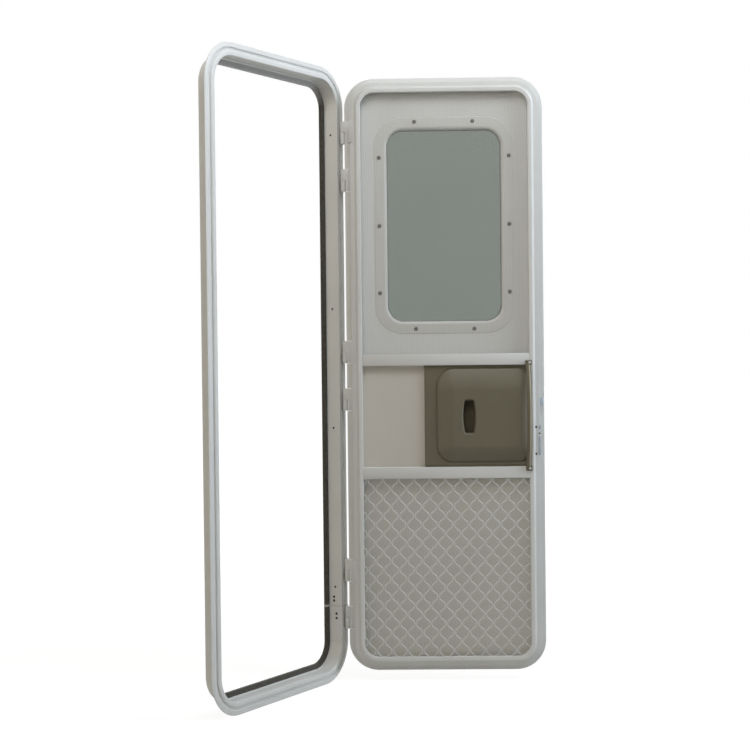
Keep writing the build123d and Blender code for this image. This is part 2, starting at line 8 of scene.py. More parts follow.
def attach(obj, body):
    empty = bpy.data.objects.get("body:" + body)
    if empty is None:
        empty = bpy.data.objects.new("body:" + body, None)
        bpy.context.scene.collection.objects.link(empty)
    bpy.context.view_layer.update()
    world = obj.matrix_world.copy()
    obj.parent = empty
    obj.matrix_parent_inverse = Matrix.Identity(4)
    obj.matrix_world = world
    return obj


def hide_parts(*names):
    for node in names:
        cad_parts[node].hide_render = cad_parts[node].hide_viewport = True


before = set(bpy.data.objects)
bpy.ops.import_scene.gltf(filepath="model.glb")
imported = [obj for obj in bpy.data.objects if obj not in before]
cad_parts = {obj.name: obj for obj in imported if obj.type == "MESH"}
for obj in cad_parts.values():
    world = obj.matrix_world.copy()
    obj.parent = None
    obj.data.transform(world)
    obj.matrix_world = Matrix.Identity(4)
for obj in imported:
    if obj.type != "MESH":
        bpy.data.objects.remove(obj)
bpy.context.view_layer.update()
print("stage: frame loaded,", len(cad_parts), "nodes")

mm = 0.001
# points closer than this, in metres, are one point
weldGap = 1e-6

# sizes that several pieces share, in mm and degrees, as in the part's source
doorSet = {
    "leafWidth": 622.0,
    "leafHeight": 1869.0,
    "leafCorner": 93.0,
    "openAngle": 122.0,
    "axisX": 316.0,
    "axisY": -19.0,
    "midRise": 949.0,
    "apertureWidth": 358.0,
    "apertureHeight": 601.0,
    "apertureCorner": 50.0,
    "windowRise": 470.0,
    "middleRise": -128.5,
}

# jamb frame: x from hinge to lock, y up from mid-leaf, z to the inside
jambFrame = Matrix(((-1, 0, 0, 0), (0, 0, 1, 0), (0, 1, 0, doorSet["midRise"] * mm), (0, 0, 0, 1)))
# the leaf frame is the same, swung open round the hinge line
hingeLine = Matrix.Translation((doorSet["axisX"] * mm, doorSet["axisY"] * mm, 0))
swungOpen = Matrix.Rotation(math.radians(doorSet["openAngle"]), 4, "Z")
leafFrame = hingeLine @ swungOpen @ hingeLine.inverted() @ jambFrame
windowFrame = leafFrame @ Matrix.Translation((0, doorSet["windowRise"] * mm, 0))


def toLinear(hexText):
    parts = [int(hexText[i:i + 2], 16) / 255 for i in (1, 3, 5)]
    return tuple(c / 12.92 if c <= 0.04045 else ((c + 0.055) / 1.055) ** 2.4 for c in parts) + (1.0,)


def addNode(tree, kind, links=None, **settings):
    # a source is a value, a socket, or a node that stands for its first output
    node = tree.nodes.new(kind)
    for name, value in settings.items():
        setattr(node, name, value)
    for socket, source in (links or {}).items():
        if isinstance(source, bpy.types.Node):
            source = source.outputs[0]
        if isinstance(source, bpy.types.NodeSocket):
            tree.links.new(source, node.inputs[socket])
        else:
            node.inputs[socket].default_value = source
    return node


def freshTree(owner):
    owner.use_nodes = True
    owner.node_tree.nodes.clear()
    return owner.node_tree


def startFinish(name, constants):
    material = bpy.data.materials.new(name)
    tree = freshTree(material)
    shader = addNode(tree, "ShaderNodeBsdfPrincipled", constants)
    addNode(tree, "ShaderNodeOutputMaterial", {"Surface": shader})
    coords = addNode(tree, "ShaderNodeTexCoord").outputs["Object"]
    return material, tree, shader, coords


def clouds(tree, coords, patchMm, detail, tones):
    # two tones in soft patches
    patches = addNode(tree, "ShaderNodeTexNoise", {
        "Vector": coords, "Scale": 1000 / patchMm, "Detail": detail,
    })
    return addNode(tree, "ShaderNodeMix", {
        0: patches.outputs["Fac"], 6: toLinear(tones[0]), 7: toLinear(tones[1]),
    }, data_type="RGBA").outputs[2]


def mottle(tree, shader, coords, tones, patchMm, grainMm, grainDepth, roughness):
    # broad cloudy patches in the colour, a fine grain in the height and the gloss
    blend = clouds(tree, coords, patchMm, 3.0, tones)
    grain = addNode(tree, "ShaderNodeTexNoise", {"Vector": coords, "Scale": 1000 / grainMm, "Detail": 2.0})
    bump = addNode(tree, "ShaderNodeBump", {
        "Strength": 0.5, "Distance": grainDepth * mm, "Height": grain.outputs["Fac"],
    })
    gloss = addNode(tree, "ShaderNodeMapRange", {
        "Value": grain.outputs["Fac"], "To Min": roughness[0], "To Max": roughness[1],
    })
    tree.links.new(blend, shader.inputs["Base Color"])
    tree.links.new(gloss.outputs[0], shader.inputs["Roughness"])
    tree.links.new(bump.outputs[0], shader.inputs["Normal"])
    return blend


def mottled(name, constants, *look):
    # a whole finish from its two tones, patch size, grain size and depth in mm, and range of roughness
    material, tree, shader, coords = startFinish(name, constants)
    mottle(tree, shader, coords, *look)
    return material


# polyester powder coat on aluminium: satin, faint orange peel (1 mm peel drawn at 7 mm so that it shows)
coatGloss = {"Specular IOR Level": 0.45}
coatLook = (("#c9c9c4", "#d4d4cf"), 160, 7, 0.05, (0.34, 0.46))
powderCoat = mottled("powderCoatWarmWhite", coatGloss, *coatLook)

# the same coat on the bent jamb, with the hairline of its butt joint and faint dark lines where the bends
# start, which are painted shade of the creases there
jambMarks = {
    "jointRise": -731.0, "jointStrength": 0.45, "bendRises": (844.0, -844.0), "bendStrength": 0.16,
    "lineMm": 1.1, "hingeSideFrom": 270.0, "tone": "#5d5a55",
}


def lineMask(tree, coords, rise, halfWidthMm, core=0.4):
    # 1 on a thin level line across the hinge side, at that height above mid-leaf, and 0 elsewhere
    spot = addNode(tree, "ShaderNodeSeparateXYZ", {0: coords})
    hingeSide = addNode(tree, "ShaderNodeMath", {
        0: spot.outputs["X"], 1: jambMarks["hingeSideFrom"] * mm,
    }, operation="GREATER_THAN")
    away = addNode(tree, "ShaderNodeMath", {
        0: spot.outputs["Z"], 1: (doorSet["midRise"] + rise) * mm,
    }, operation="SUBTRACT")
    size = addNode(tree, "ShaderNodeMath", {0: away}, operation="ABSOLUTE")
    line = addNode(tree, "ShaderNodeMapRange", {
        "Value": size, "From Min": halfWidthMm * mm, "From Max": core * halfWidthMm * mm,
    })
    return addNode(tree, "ShaderNodeMath", {0: line, 1: hingeSide}, operation="MULTIPLY")


jambCoat, jambTree, jambShader, jambCoords = startFinish("powderCoatBentJamb", coatGloss)
jambBlend = mottle(jambTree, jambShader, jambCoords, *coatLook)
markLines = [(jambMarks["jointRise"], jambMarks["jointStrength"])]
# the bend lines are painted crease shade
markLines += [(rise, jambMarks["bendStrength"]) for rise in jambMarks["bendRises"]]
markTotal = 0.0
for rise, strength in markLines:
    markTotal = addNode(jambTree, "ShaderNodeMath", {
        0: lineMask(jambTree, jambCoords, rise, jambMarks["lineMm"]), 1: strength, 2: markTotal,
    }, operation="MULTIPLY_ADD")
marked = addNode(jambTree, "ShaderNodeMix", {
    0: markTotal, 6: jambBlend, 7: toLinear(jambMarks["tone"]),
}, data_type="RGBA")
jambTree.links.new(marked.outputs[2], jambShader.inputs["Base Color"])

# prepainted aluminium sheet of the solid leaf: flatter and a little duller than the coat
leafSheet = mottled(
    "prepaintedSheet", {"Specular IOR Level": 0.35}, ("#d6d6d1", "#dfdfda"), 220, 9, 0.03, (0.42, 0.52))

# moulded ABS of the window rings: satin, very fine spark-eroded grain
ringPlastic = mottled(
    "mouldedAbsWarmWhite", {"Specular IOR Level": 0.45}, ("#cdccc6", "#d6d5cf"), 120, 3, 0.04, (0.36, 0.46))

# polypropylene board behind the slider's free half: matt, faintly clouded
board = mottled(
    "ribbedBoard", {"Specular IOR Level": 0.3}, ("#c3beb3", "#cac5ba"), 140, 6, 0.03, (0.5, 0.6))

# olive-brown moulded ABS of the slider: satin, fine texture that catches a soft sheen on its slopes
olivePlastic = mottled(
    "mouldedAbsOlive", {"Specular IOR Level": 0.3}, ("#615c4b", "#6a6553"), 90, 2.5, 0.05, (0.38, 0.46))

# painted shade in the finger recess: darker olive tones, with a coarse eroded grain that keeps it dull
olivePaintedShade = mottled(
    "mouldedAbsOliveCoarse", {"Specular IOR Level": 0.15}, ("#4a4636", "#544f3e"), 20, 1.5, 0.15, (0.75, 0.9))

# the handle's olive nylon, a little smoother than the slider
oliveNylon = mottled(
    "mouldedNylonOlive", {"Specular IOR Level": 0.3}, ("#5d5746", "#686250"), 60, 2, 0.02, (0.3, 0.4))

# the rib on the handle's crown: its pale tone is a painted highlight, on smooth glossy nylon
ribPaintedHighlight = mottled(
    "wornNylonRib", {"Specular IOR Level": 0.5}, ("#9d9682", "#aaa38f"), 40, 2, 0.02, (0.2, 0.3))

# brown polyethylene screw caps
capPlastic = mottled(
    "screwCapBrown", {"Specular IOR Level": 0.4}, ("#544e48", "#625b54"), 8, 1, 0.02, (0.35, 0.5))

# blackened steel of the jamb's screws, rivets and lock screws
darkSteel = mottled("blackenedSteel", {"Metallic": 0.6}, ("#35312f", "#45403d"), 6, 0.8, 0.02, (0.35, 0.5))

# zinc-plated steel of the lock: cool grey, lightly clouded
zincSteel = mottled(
    "zincPlatedSteel", {"Metallic": 0.85}, ("#8791a0", "#a0a9b4"), 14, 1.5, 0.02, (0.28, 0.42))

# mill-finish aluminium of the grille strips, the joint plate and the handle's screws
millAluminium = mottled(
    "millAluminium", {"Metallic": 0.15}, ("#c4c5c2", "#cfd0cd"), 30, 2, 0.03, (0.32, 0.42))

# glass-filled nylon, black, for the outside handle and the inner lock plate
blackNylon = mottled(
    "mouldedNylonBlack", {"Specular IOR Level": 0.4}, ("#1f2022", "#2a2b2d"), 50, 1.5, 0.05, (0.4, 0.55))

# extruded rubber round the pane: matt, nearly black
sealRubber = mottled(
    "extrudedRubber", {"Specular IOR Level": 0.3}, ("#2b2a28", "#363432"), 30, 1, 0.02, (0.6, 0.75))

# polyurethane foam of the leaf's core, cut face with small cells
coreFoam = mottled("cutFoam", {"Specular IOR Level": 0.2}, ("#d9cfae", "#efe6cc"), 12, 2, 0.3, (0.85, 0.95))

# polypropylene pile: dark fibres with paler dusty ones among them
# the pale backing seen at the joint, and the painted sheen of the top run
fibreMarks = {
    "partingMm": 5.0, "backing": "#a9a59b", "bleachFrom": 1800.0, "bleachTo": 1850.0, "bleachShare": 0.8,
    "bleached": "#bab9b5",
}
pileFibre, fibreTree, fibreShader, fibreCoords = startFinish("pileFibre", {
    "Specular IOR Level": 0.2, "Sheen Weight": 0.25,
})
fibreBlend = mottle(fibreTree, fibreShader, fibreCoords, ("#1d1915", "#5d594f"), 6, 2, 0.1, (0.8, 0.95))
# where the strip's two ends meet, beside the jamb's joint, the fibres part and show their pale backing
parting = lineMask(fibreTree, fibreCoords, jambMarks["jointRise"], fibreMarks["partingMm"])
parted = addNode(fibreTree, "ShaderNodeMix", {
    0: parting, 6: fibreBlend, 7: toLinear(fibreMarks["backing"]),
}, data_type="RGBA")
# the fibres of the top run are painted paler: a painted sheen where they catch the light along their length
fibrePlace = addNode(fibreTree, "ShaderNodeSeparateXYZ", {0: fibreCoords})
sheenMask = addNode(fibreTree, "ShaderNodeMapRange", {
    "Value": fibrePlace.outputs["Z"], "From Min": fibreMarks["bleachFrom"] * mm,
    "From Max": fibreMarks["bleachTo"] * mm, "To Max": fibreMarks["bleachShare"],
})
bleached = addNode(fibreTree, "ShaderNodeMix", {
    0: sheenMask, 6: parted.outputs[2], 7: toLinear(fibreMarks["bleached"]),
}, data_type="RGBA")
fibreTree.links.new(bleached.outputs[2], fibreShader.inputs["Base Color"])

# smoke-tinted cast acrylic: clear, greenish grey through its thickness, glossy faces
smoke = {"tones": ("#6f7871", "#747d75"), "patchMm": 300}
acrylic, acrylicTree, acrylicShader, acrylicCoords = startFinish("smokeAcrylic", {
    "Transmission Weight": 1.0, "IOR": 1.49, "Roughness": 0.0,
})
acrylicBlend = clouds(acrylicTree, acrylicCoords, smoke["patchMm"], 1.0, smoke["tones"])
acrylicTree.links.new(acrylicBlend, acrylicShader.inputs["Base Color"])

# woven fly mesh: 1.2 mm weave drawn as 7 mm wavering threads, the moire it makes at this distance
weave = {
    "threadMm": 6.9, "swayMm": 24.0, "swayLengthMm": 330.0,
    "upperTones": ("#b4b4af", "#bcbcb7"), "upperAlpha": (0.16, 0.22),
    # the lower sheet is the same mesh; its paler, warmer tint is painted light on the bay shaded behind the
    # grille
    "lowerTones": ("#e4ddcc", "#eae3d3"), "lowerAlpha": (0.27, 0.29),
}


def weaveFinish(name, tones, alphas):
    material, tree, shader, coords = startFinish(name, {"Specular IOR Level": 0.2, "Roughness": 0.8})
    turned = addNode(tree, "ShaderNodeMapping", {
        "Vector": coords, "Rotation": (0, 0, math.radians(180 - doorSet["openAngle"])),
    })
    spot = addNode(tree, "ShaderNodeSeparateXYZ", {0: turned})
    sway = addNode(tree, "ShaderNodeTexNoise", {
        "Vector": turned, "Scale": 1000 / weave["swayLengthMm"], "Detail": 1.0,
    })
    swayed = addNode(tree, "ShaderNodeMath", {
        0: sway.outputs["Fac"], 1: weave["swayMm"] * mm, 2: spot.outputs["X"],
    }, operation="MULTIPLY_ADD")
    angle = addNode(tree, "ShaderNodeMath", {
        0: swayed, 1: 2 * math.pi / (weave["threadMm"] * mm),
    }, operation="MULTIPLY")
    wave = addNode(tree, "ShaderNodeMath", {0: angle}, operation="SINE")
    alpha = addNode(tree, "ShaderNodeMapRange", {
        "Value": wave, "From Min": -1.0, "To Min": alphas[0], "To Max": alphas[1],
    })
    tint = addNode(tree, "ShaderNodeMix", {
        0: sway.outputs["Fac"], 6: toLinear(tones[0]), 7: toLinear(tones[1]),
    }, data_type="RGBA")
    tree.links.new(alpha.outputs[0], shader.inputs["Alpha"])
    tree.links.new(tint.outputs[2], shader.inputs["Base Color"])
    return material


upperWeave = weaveFinish("wovenFlyMeshUpper", weave["upperTones"], weave["upperAlpha"])
# the lower sheet's tint is painted light
lowerWeave = weaveFinish("wovenFlyMeshLower", weave["lowerTones"], weave["lowerAlpha"])
print("stage: finishes ready,", len(bpy.data.materials))


def newObject(name, data):
    made = bpy.data.objects.new(name, data)
    bpy.context.scene.collection.objects.link(made)
    return made


def newMesh(name, verts, edges=(), faces=()):
    mesh = bpy.data.meshes.new(name)
    mesh.from_pydata(verts, edges, faces)
    return mesh


def applied(carrier):
    # the carrier's mesh with its modifier applied; the carrier itself goes
    graph = bpy.context.evaluated_depsgraph_get()
    made = bpy.data.meshes.new_from_object(carrier.evaluated_get(graph))
    carrier.modifiers.clear()
    bpy.data.objects.remove(carrier)
    return made


def newTree(name, sizes):
    # a tree with named inputs, listed by their kind, and one more for the finish
    tree = bpy.data.node_groups.new(name, "GeometryNodeTree")
    for kind, labels in {"Geometry": ("Geometry",), **sizes, "Material": ("Finish",)}.items():
        for label in labels:
            tree.interface.new_socket(label, in_out="INPUT", socket_type="NodeSocket" + kind)
    tree.interface.new_socket("Geometry", in_out="OUTPUT", socket_type="NodeSocketGeometry")
    return tree, tree.nodes.new("NodeGroupInput").outputs


def endTree(tree, given, geometry):
    whole = addNode(tree, "GeometryNodeRealizeInstances", {"Geometry": geometry})
    finished = addNode(tree, "GeometryNodeSetMaterial", {"Geometry": whole, "Material": given["Finish"]})
    addNode(tree, "NodeGroupOutput", {0: finished})
    return tree


def runTree(tree, mesh, values):
    carrier = newObject("carrier", mesh)
    modifier = carrier.modifiers.new("shape", "NODES")
    modifier.node_group = tree
    for item in tree.interface.items_tree:
        if item.in_out == "INPUT" and item.name in values:
            modifier[item.identifier] = values[item.name]
    return applied(carrier)


def weld(mesh):
    # joins points that coincide and turns the faces outward
    shell = bmesh.new()
    shell.from_mesh(mesh)
    bmesh.ops.remove_doubles(shell, verts=shell.verts, dist=weldGap)
    bmesh.ops.recalc_face_normals(shell, faces=shell.faces)
    shell.to_mesh(mesh)
    shell.free()


def place(name, mesh, body, finish=None, nodes=(), local=None, crease=32, closed=True):
    if local is not None:
        mesh.transform(local)
    if closed:
        weld(mesh)
    if finish is not None:
        mesh.materials.clear()
        mesh.materials.append(finish)
    mesh.name = name
    mesh.shade_smooth()
    mesh.set_sharp_from_angle(angle=math.radians(crease))
    piece = newObject(name, mesh)
    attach(piece, body)
    if nodes:
        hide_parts(*nodes)
    return piece


def softened(node, width, finish, body, segments=2, joinAngle=2, edgeAngle=40, barrel=None):
    # a copy of the solid with its triangles joined and its edges rounded
    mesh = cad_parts[node].data.copy()
    shell = bmesh.new()
    shell.from_mesh(mesh)
    # a hinge's barrel is let out to the radius that shows
    for vert in shell.verts if barrel else ():
        away = Vector((vert.co.x - doorSet["axisX"] * mm, vert.co.y - doorSet["axisY"] * mm))
        if abs(away.length - barrel["solid"] * mm) < barrel["slack"] * mm:
            away *= barrel["shown"] / barrel["solid"]
            vert.co.x, vert.co.y = doorSet["axisX"] * mm + away.x, doorSet["axisY"] * mm + away.y
    bmesh.ops.remove_doubles(shell, verts=shell.verts, dist=2 * weldGap)
    bmesh.ops.dissolve_limit(shell, angle_limit=math.radians(joinAngle), verts=shell.verts, edges=shell.edges)
    shell.to_mesh(mesh)
    shell.free()
    carrier = newObject("carrier", mesh)
    bevel = carrier.modifiers.new("edges", "BEVEL")
    bevel.width = width * mm
    bevel.segments = segments
    bevel.limit_method = "ANGLE"
    bevel.angle_limit = math.radians(edgeAngle)
    name = "".join(w.capitalize() if i else w for i, w in enumerate(node.split("_")))
    return place(name, applied(carrier), body, finish, (node,), closed=False)


def boxVerts(x0, x1, z0, z1, d0, d1):
    return [(x * mm, z * mm, d * mm) for d in (d0, d1) for z in (z0, z1) for x in (x0, x1)]


boxFaces = ((0, 2, 3, 1), (4, 5, 7, 6), (0, 1, 5, 4), (1, 3, 7, 5), (3, 2, 6, 7), (2, 0, 4, 6))


def boxMesh(name, *boxes):
    # one mesh of boxes, each given by its limits in x, height and depth
    verts, faces = [], []
    for box in boxes:
        faces += [tuple(len(verts) + i for i in face) for face in boxFaces]
        verts += boxVerts(*box)
    return newMesh(name, verts, (), faces)


def roundedBoxes(name, width, segments, *boxes):
    mesh = boxMesh(name, *boxes)
    shell = bmesh.new()
    shell.from_mesh(mesh)
    bmesh.ops.bevel(
        shell, geom=shell.edges[:], offset=width * mm, segments=segments, affect="EDGES", profile=0.5,
    )
    shell.to_mesh(mesh)
    shell.free()
    return mesh


def carved(mesh, cutter):
    # the mesh with the cutter's boxes taken out of it
    weld(mesh)
    body = newObject("body", mesh)
    tool = newObject("tool", cutter)
    cut = body.modifiers.new("cut", "BOOLEAN")
    cut.operation = "DIFFERENCE"
    cut.object = tool
    made = applied(body)
    bpy.data.objects.remove(tool)
    return made


def lathe(points, steps):
    # closed turned shape round z from (radius, height) pairs in mm, first and last on the axis
    shell = bmesh.new()
    turns = [2 * math.pi * k / steps for k in range(steps)]
    rings = []
    for radius, height in points:
        if radius == 0:
            rings.append([shell.verts.new((0, 0, height * mm))])
            continue
        rings.append([
            shell.verts.new((radius * mm * math.cos(turn), radius * mm * math.sin(turn), height * mm))
            for turn in turns
        ])
    for low, high in zip(rings, rings[1:]):
        for k in range(steps):
            corners = [low[k % len(low)], low[(k + 1) % len(low)]]
            corners += [high[(k + 1) % len(high)], high[k % len(high)]]
            unique = list(dict.fromkeys(corners))
            if len(unique) > 2:
                shell.faces.new(unique)
    bmesh.ops.recalc_face_normals(shell, faces=shell.faces)
    mesh = bpy.data.meshes.new("turned")
    shell.to_mesh(mesh)
    shell.free()
    mesh.shade_smooth()
    return bpy.data.objects.new("turned", mesh)


def roundedPath(tree, given, cornerSteps):
    # a rectangle with rounded corners, its normals kept level
    around = addNode(tree, "GeometryNodeCurvePrimitiveQuadrilateral", {
        "Width": given["Width"], "Height": given["Height"],
    }, mode="RECTANGLE")
    bent = addNode(tree, "GeometryNodeFilletCurve", {
        "Curve": around, "Count": cornerSteps, "Radius": given["Corner"],
    }, mode="POLY")
    return addNode(tree, "GeometryNodeSetCurveNormal", {"Curve": bent}, mode="Z_UP")


# one section, drawn as points of offset from the outline and depth, swept round a rounded rectangle
tree, given = newTree("sweptSection", {
    "Float": ("Width", "Height", "Corner"), "Int": ("Corner Steps", "Edge Steps"),
})
drawn = addNode(tree, "GeometryNodeMeshToCurve", {"Mesh": given["Geometry"]})
edgeRound = addNode(tree, "GeometryNodeInputNamedAttribute", {"Name": "edgeRound"}, data_type="FLOAT")
eased = addNode(tree, "GeometryNodeFilletCurve", {
    "Curve": drawn, "Count": given["Edge Steps"], "Radius": edgeRound, "Limit Radius": True,
}, mode="POLY")
swept = addNode(tree, "GeometryNodeCurveToMesh", {
    "Curve": roundedPath(tree, given, given["Corner Steps"]), "Profile Curve": eased,
})
sweptSection = endTree(tree, given, swept)


def sweepPiece(section, finish, path=None, edgeSteps=4, cornerSteps=22):
    count = len(section)
    mesh = newMesh(
        "section", [(offset * mm, -depth * mm, 0) for offset, depth, _ in section],
        [(i, (i + 1) % count) for i in range(count)],
    )
    rounding = mesh.attributes.new("edgeRound", "FLOAT", "POINT")
    rounding.data.foreach_set("value", [radius * mm for _, _, radius in section])
    width, height, corner = path or (doorSet["leafWidth"], doorSet["leafHeight"], doorSet["leafCorner"])
    return runTree(sweptSection, mesh, {
        "Width": width * mm, "Height": height * mm, "Corner": corner * mm, "Corner Steps": cornerSteps,
        "Edge Steps": edgeSteps, "Finish": finish,
    })


# jamb: wall flange with a soft slope, groove, rounded lip, straight reveal, pile channel
# section points are offset, depth and rounding
jamb = {
    "section": (
        (29, 0, 0.1), (29, -2.0, 0.9), (25, -3.3, 5), (16, -4.6, 2.2), (13.5, -3.9, 0.8), (13.5, -1.2, 0.4),
        (6.5, -1.2, 0.4), (5.2, -4.5, 2.0), (1.5, -6.4, 4), (-1, -7, 3), (-7.5, -7, 1.6), (-9.4, -6.4, 0.8),
        (-10, -4.5, 1.0), (-10, 37, 0.3), (-14, 37, 0.5), (-14, 38.5, 0.4), (-10, 38.5, 0.1), (-10, 49, 0.1),
        (-14, 49, 0.4), (-14, 51, 0.5), (-7.5, 51, 0.5), (-7.5, 0, 0.1),
    ),
    "boltHole": (297.0, 307.5, -98.5, -73.5, -3.5, 3.0),
}
jambMesh = carved(sweepPiece(jamb["section"], jambCoat), boxMesh("boltHole", jamb["boltHole"]))
place("bentJamb", jambMesh, "frame", jambCoat, ("jamb_frame",), jambFrame)

# screen leaf frame: flange, sloped step, crown, open at the back
screenLeaf = {
    "section": (
        (-17, 11, 0.3), (-17, 14, 1.0), (-31, 14, 2.0), (-37, 29, 3.0), (-50, 29, 1.6), (-50, 11, 0.3),
        (-48, 11, 0.3), (-48, 27, 0.5), (-38.35, 27, 0.8), (-31.95, 11, 0.4),
    ),
}
place("screenLeafFrame", sweepPiece(screenLeaf["section"], powderCoat), "screen_door", None,
      ("screen_frame",), leafFrame)

# main leaf trim: a web with a thin projecting rim, notched round the hinge arms and pierced for the bolt
leafTrim = {
    "section": (
        (-25, -26, 0.2), (-22, -26, 0.8), (-22, -15, 1.0), (0, -15, 0.4), (0, -13.9, 0.6), (-18, -10, 2.0),
        (-22, -10, 0.6), (-22, 4, 0.6), (-25, 4, 0.2),
    ),
    "notchRises": [rise + shift for rise in (692.0, 0.0, -692.0) for shift in (75.0, -75.0)],
    "notchHalf": 35.7, "notchSpan": (-320, -289.01), "notchDepths": (-20, -8),
    "boltHole": (280, 295, -98.0, -74.0, -3.0, 2.5),
}
notches = [
    (*leafTrim["notchSpan"], rise - leafTrim["notchHalf"], rise + leafTrim["notchHalf"],
     *leafTrim["notchDepths"])
    for rise in leafTrim["notchRises"]
]
trimCuts = boxMesh("cuts", *notches, leafTrim["boltHole"])
trimMesh = carved(sweepPiece(leafTrim["section"], powderCoat), trimCuts)
place("leafEdgeTrim", trimMesh, "main_door", powderCoat, ("edge_trim",), leafFrame)

# window rings follow the pane's opening: inside one rolls down to the pane, outside one is a low moulding
window = {
    "path": (doorSet["apertureWidth"], doorSet["apertureHeight"], doorSet["apertureCorner"]),
    "innerSection": (
        (0, -20, 0.1), (0, -1.5, 2), (1.6, 4.4, 4), (8, 6.7, 6), (37.8, 5.2, 1.0), (39.5, 4, 0.2),
        (17, 4, 0.2), (16.5, -20, 0.2),
    ),
    "outerSection": (
        (0, -26, 0.1), (0, -28.2, 1.2), (6, -29, 4), (35, -29, 3), (40, -26, 0.3), (21.5, -26, 0.2),
        (21.5, -11, 0.5), (16.5, -11, 0.5), (16.5, -26, 0.1),
    ),
    "sealSection": ((-1.6, -19.95, 0.1), (-1.6, -18.4, 0.8), (0.05, -17.6, 0.5), (0.05, -19.95, 0.1)),
}
for name, section, finish, nodes, slot, crease in (
    ("windowInnerRing", "innerSection", ringPlastic, ("window_inner_ring",), "grey_plastic", 50),
    ("windowOuterFrame", "outerSection", ringPlastic, ("window_outer_frame",), "grey_plastic", 32),
    ("paneSeal", "sealSection", sealRubber, (), "black_plastic", 32),
):
    ringMesh = sweepPiece(window[section], finish, window["path"])
    place(name, ringMesh, "main_door", None, nodes, windowFrame, crease)
print("stage: swept sections made")

# pile: a dense core with tufts standing along it, all inside the pile solid
pile = {
    "coreSection": ((-10, 38.7, 0.2), (-10, 49.9, 0.2), (-29.3, 49.9, 1.2), (-29.3, 39.3, 1.2)),
    "inset": 10.0, "cornerSteps": 24, "spacing": 0.8, "low": 39.6, "high": 49.8, "lean": 0.03, "seed": 7,
    "slimmest": (0.8, 0.8, 0.97), "stoutest": (1.2, 1.2, 1.02),
    "tuft": ((0, 0), (0.9, 0.2), (1.2, 12.0), (0.5, 19.0), (0, 20.0)), "tuftSides": 5,
}
tree, given = newTree("pileBristles", {
    "Float": ("Width", "Height", "Corner", "Spacing", "Low", "High"), "Object": ("Tuft",), "Int": ("Seed",),
})
roots = addNode(tree, "GeometryNodeCurveToPoints", {
    "Curve": roundedPath(tree, given, pile["cornerSteps"]), "Length": given["Spacing"],
}, mode="LENGTH")
spread = addNode(tree, "FunctionNodeRandomValue", {
    2: given["Low"], 3: given["High"], "Seed": given["Seed"],
}, data_type="FLOAT")
lift = addNode(tree, "ShaderNodeCombineXYZ", {"Z": spread.outputs[1]})
raised = addNode(tree, "GeometryNodeSetPosition", {"Geometry": roots.outputs["Points"], "Offset": lift})
inward = addNode(tree, "ShaderNodeVectorMath", {0: roots.outputs["Normal"], "Scale": -1.0}, operation="SCALE")
jitter = addNode(tree, "FunctionNodeRandomValue", {
    0: [-pile["lean"]] * 3, 1: [pile["lean"]] * 3, "Seed": given["Seed"],
}, data_type="FLOAT_VECTOR")
leaning = addNode(tree, "ShaderNodeVectorMath", {0: inward, 1: jitter}, operation="ADD")
aim = addNode(tree, "FunctionNodeAlignRotationToVector", {"Vector": leaning}, axis="Z")
growth = addNode(tree, "FunctionNodeRandomValue", {
    0: pile["slimmest"], 1: pile["stoutest"], "Seed": given["Seed"],
}, data_type="FLOAT_VECTOR")
tuftShape = addNode(tree, "GeometryNodeObjectInfo", {"Object": given["Tuft"]})
tufts = addNode(tree, "GeometryNodeInstanceOnPoints", {
    "Points": raised, "Instance": tuftShape.outputs["Geometry"], "Rotation": aim, "Scale": growth,
})
pileBristles = endTree(tree, given, tufts)

tuft = lathe(pile["tuft"], pile["tuftSides"])
pileMesh = runTree(pileBristles, bpy.data.meshes.new("roots"), {
    "Width": (doorSet["leafWidth"] - 2 * pile["inset"]) * mm,
    "Height": (doorSet["leafHeight"] - 2 * pile["inset"]) * mm,
    "Corner": (doorSet["leafCorner"] - pile["inset"]) * mm, "Spacing": pile["spacing"] * mm,
    "Low": pile["low"] * mm, "High": pile["high"] * mm,
    "Tuft": tuft, "Seed": pile["seed"], "Finish": pileFibre,
})
bpy.data.objects.remove(tuft)
place("pileTufts", pileMesh, "frame", pileFibre, (), jambFrame, closed=False)
coreMesh = sweepPiece(pile["coreSection"], pileFibre)
place("pileCore", coreMesh, "frame", None, ("pile_strip",), jambFrame)
print("stage: pile made")

# grille: strips pressed into waves, each the mirror of its neighbours, a narrow gap left where they meet
grille = {
    "strips": 22, "spacing": 24.5, "period": 56.6, "thickness": 2.4, "gap": 4.6, "twist": 17.0, "depth": 5.0,
    "level": 23.0, "steepness": 1.95, "easing": 0.3, "low": -893.0, "high": -316.0, "firstX": -261.8,
    "shiftZ": -3.1, "cornerX": 218.0, "cornerZ": -841.5, "cornerR": 44.8, "steps": 230, "edgeRound": 0.5,
}
tree, given = newTree("grilleStrips", {
    "Int": ("Strips", "Steps"), "Vector": ("Start", "Low", "High"),
    "Float": ("Spacing", "Wave", "Phase", "Steepness", "Easing", "Swing", "Twist", "Thickness", "Depth",
              "Corner X", "Corner Z", "Corner R"),
})
across = addNode(tree, "ShaderNodeCombineXYZ", {"X": given["Spacing"]})
feet = addNode(tree, "GeometryNodeMeshLine", {
    "Count": given["Strips"], "Start Location": given["Start"], "Offset": across,
}, mode="OFFSET")
order = addNode(tree, "GeometryNodeInputIndex")
odd = addNode(tree, "ShaderNodeMath", {0: order, 1: 2.0}, operation="MODULO")
side = addNode(tree, "ShaderNodeMath", {0: odd, 1: -2.0, 2: 1.0}, operation="MULTIPLY_ADD")
sided = addNode(tree, "GeometryNodeStoreNamedAttribute", {
    "Geometry": feet, "Name": "side", "Value": side,
}, data_type="FLOAT", domain="POINT")
line = addNode(tree, "GeometryNodeCurvePrimitiveLine", {
    "Start": given["Low"], "End": given["High"],
}, mode="POINTS")
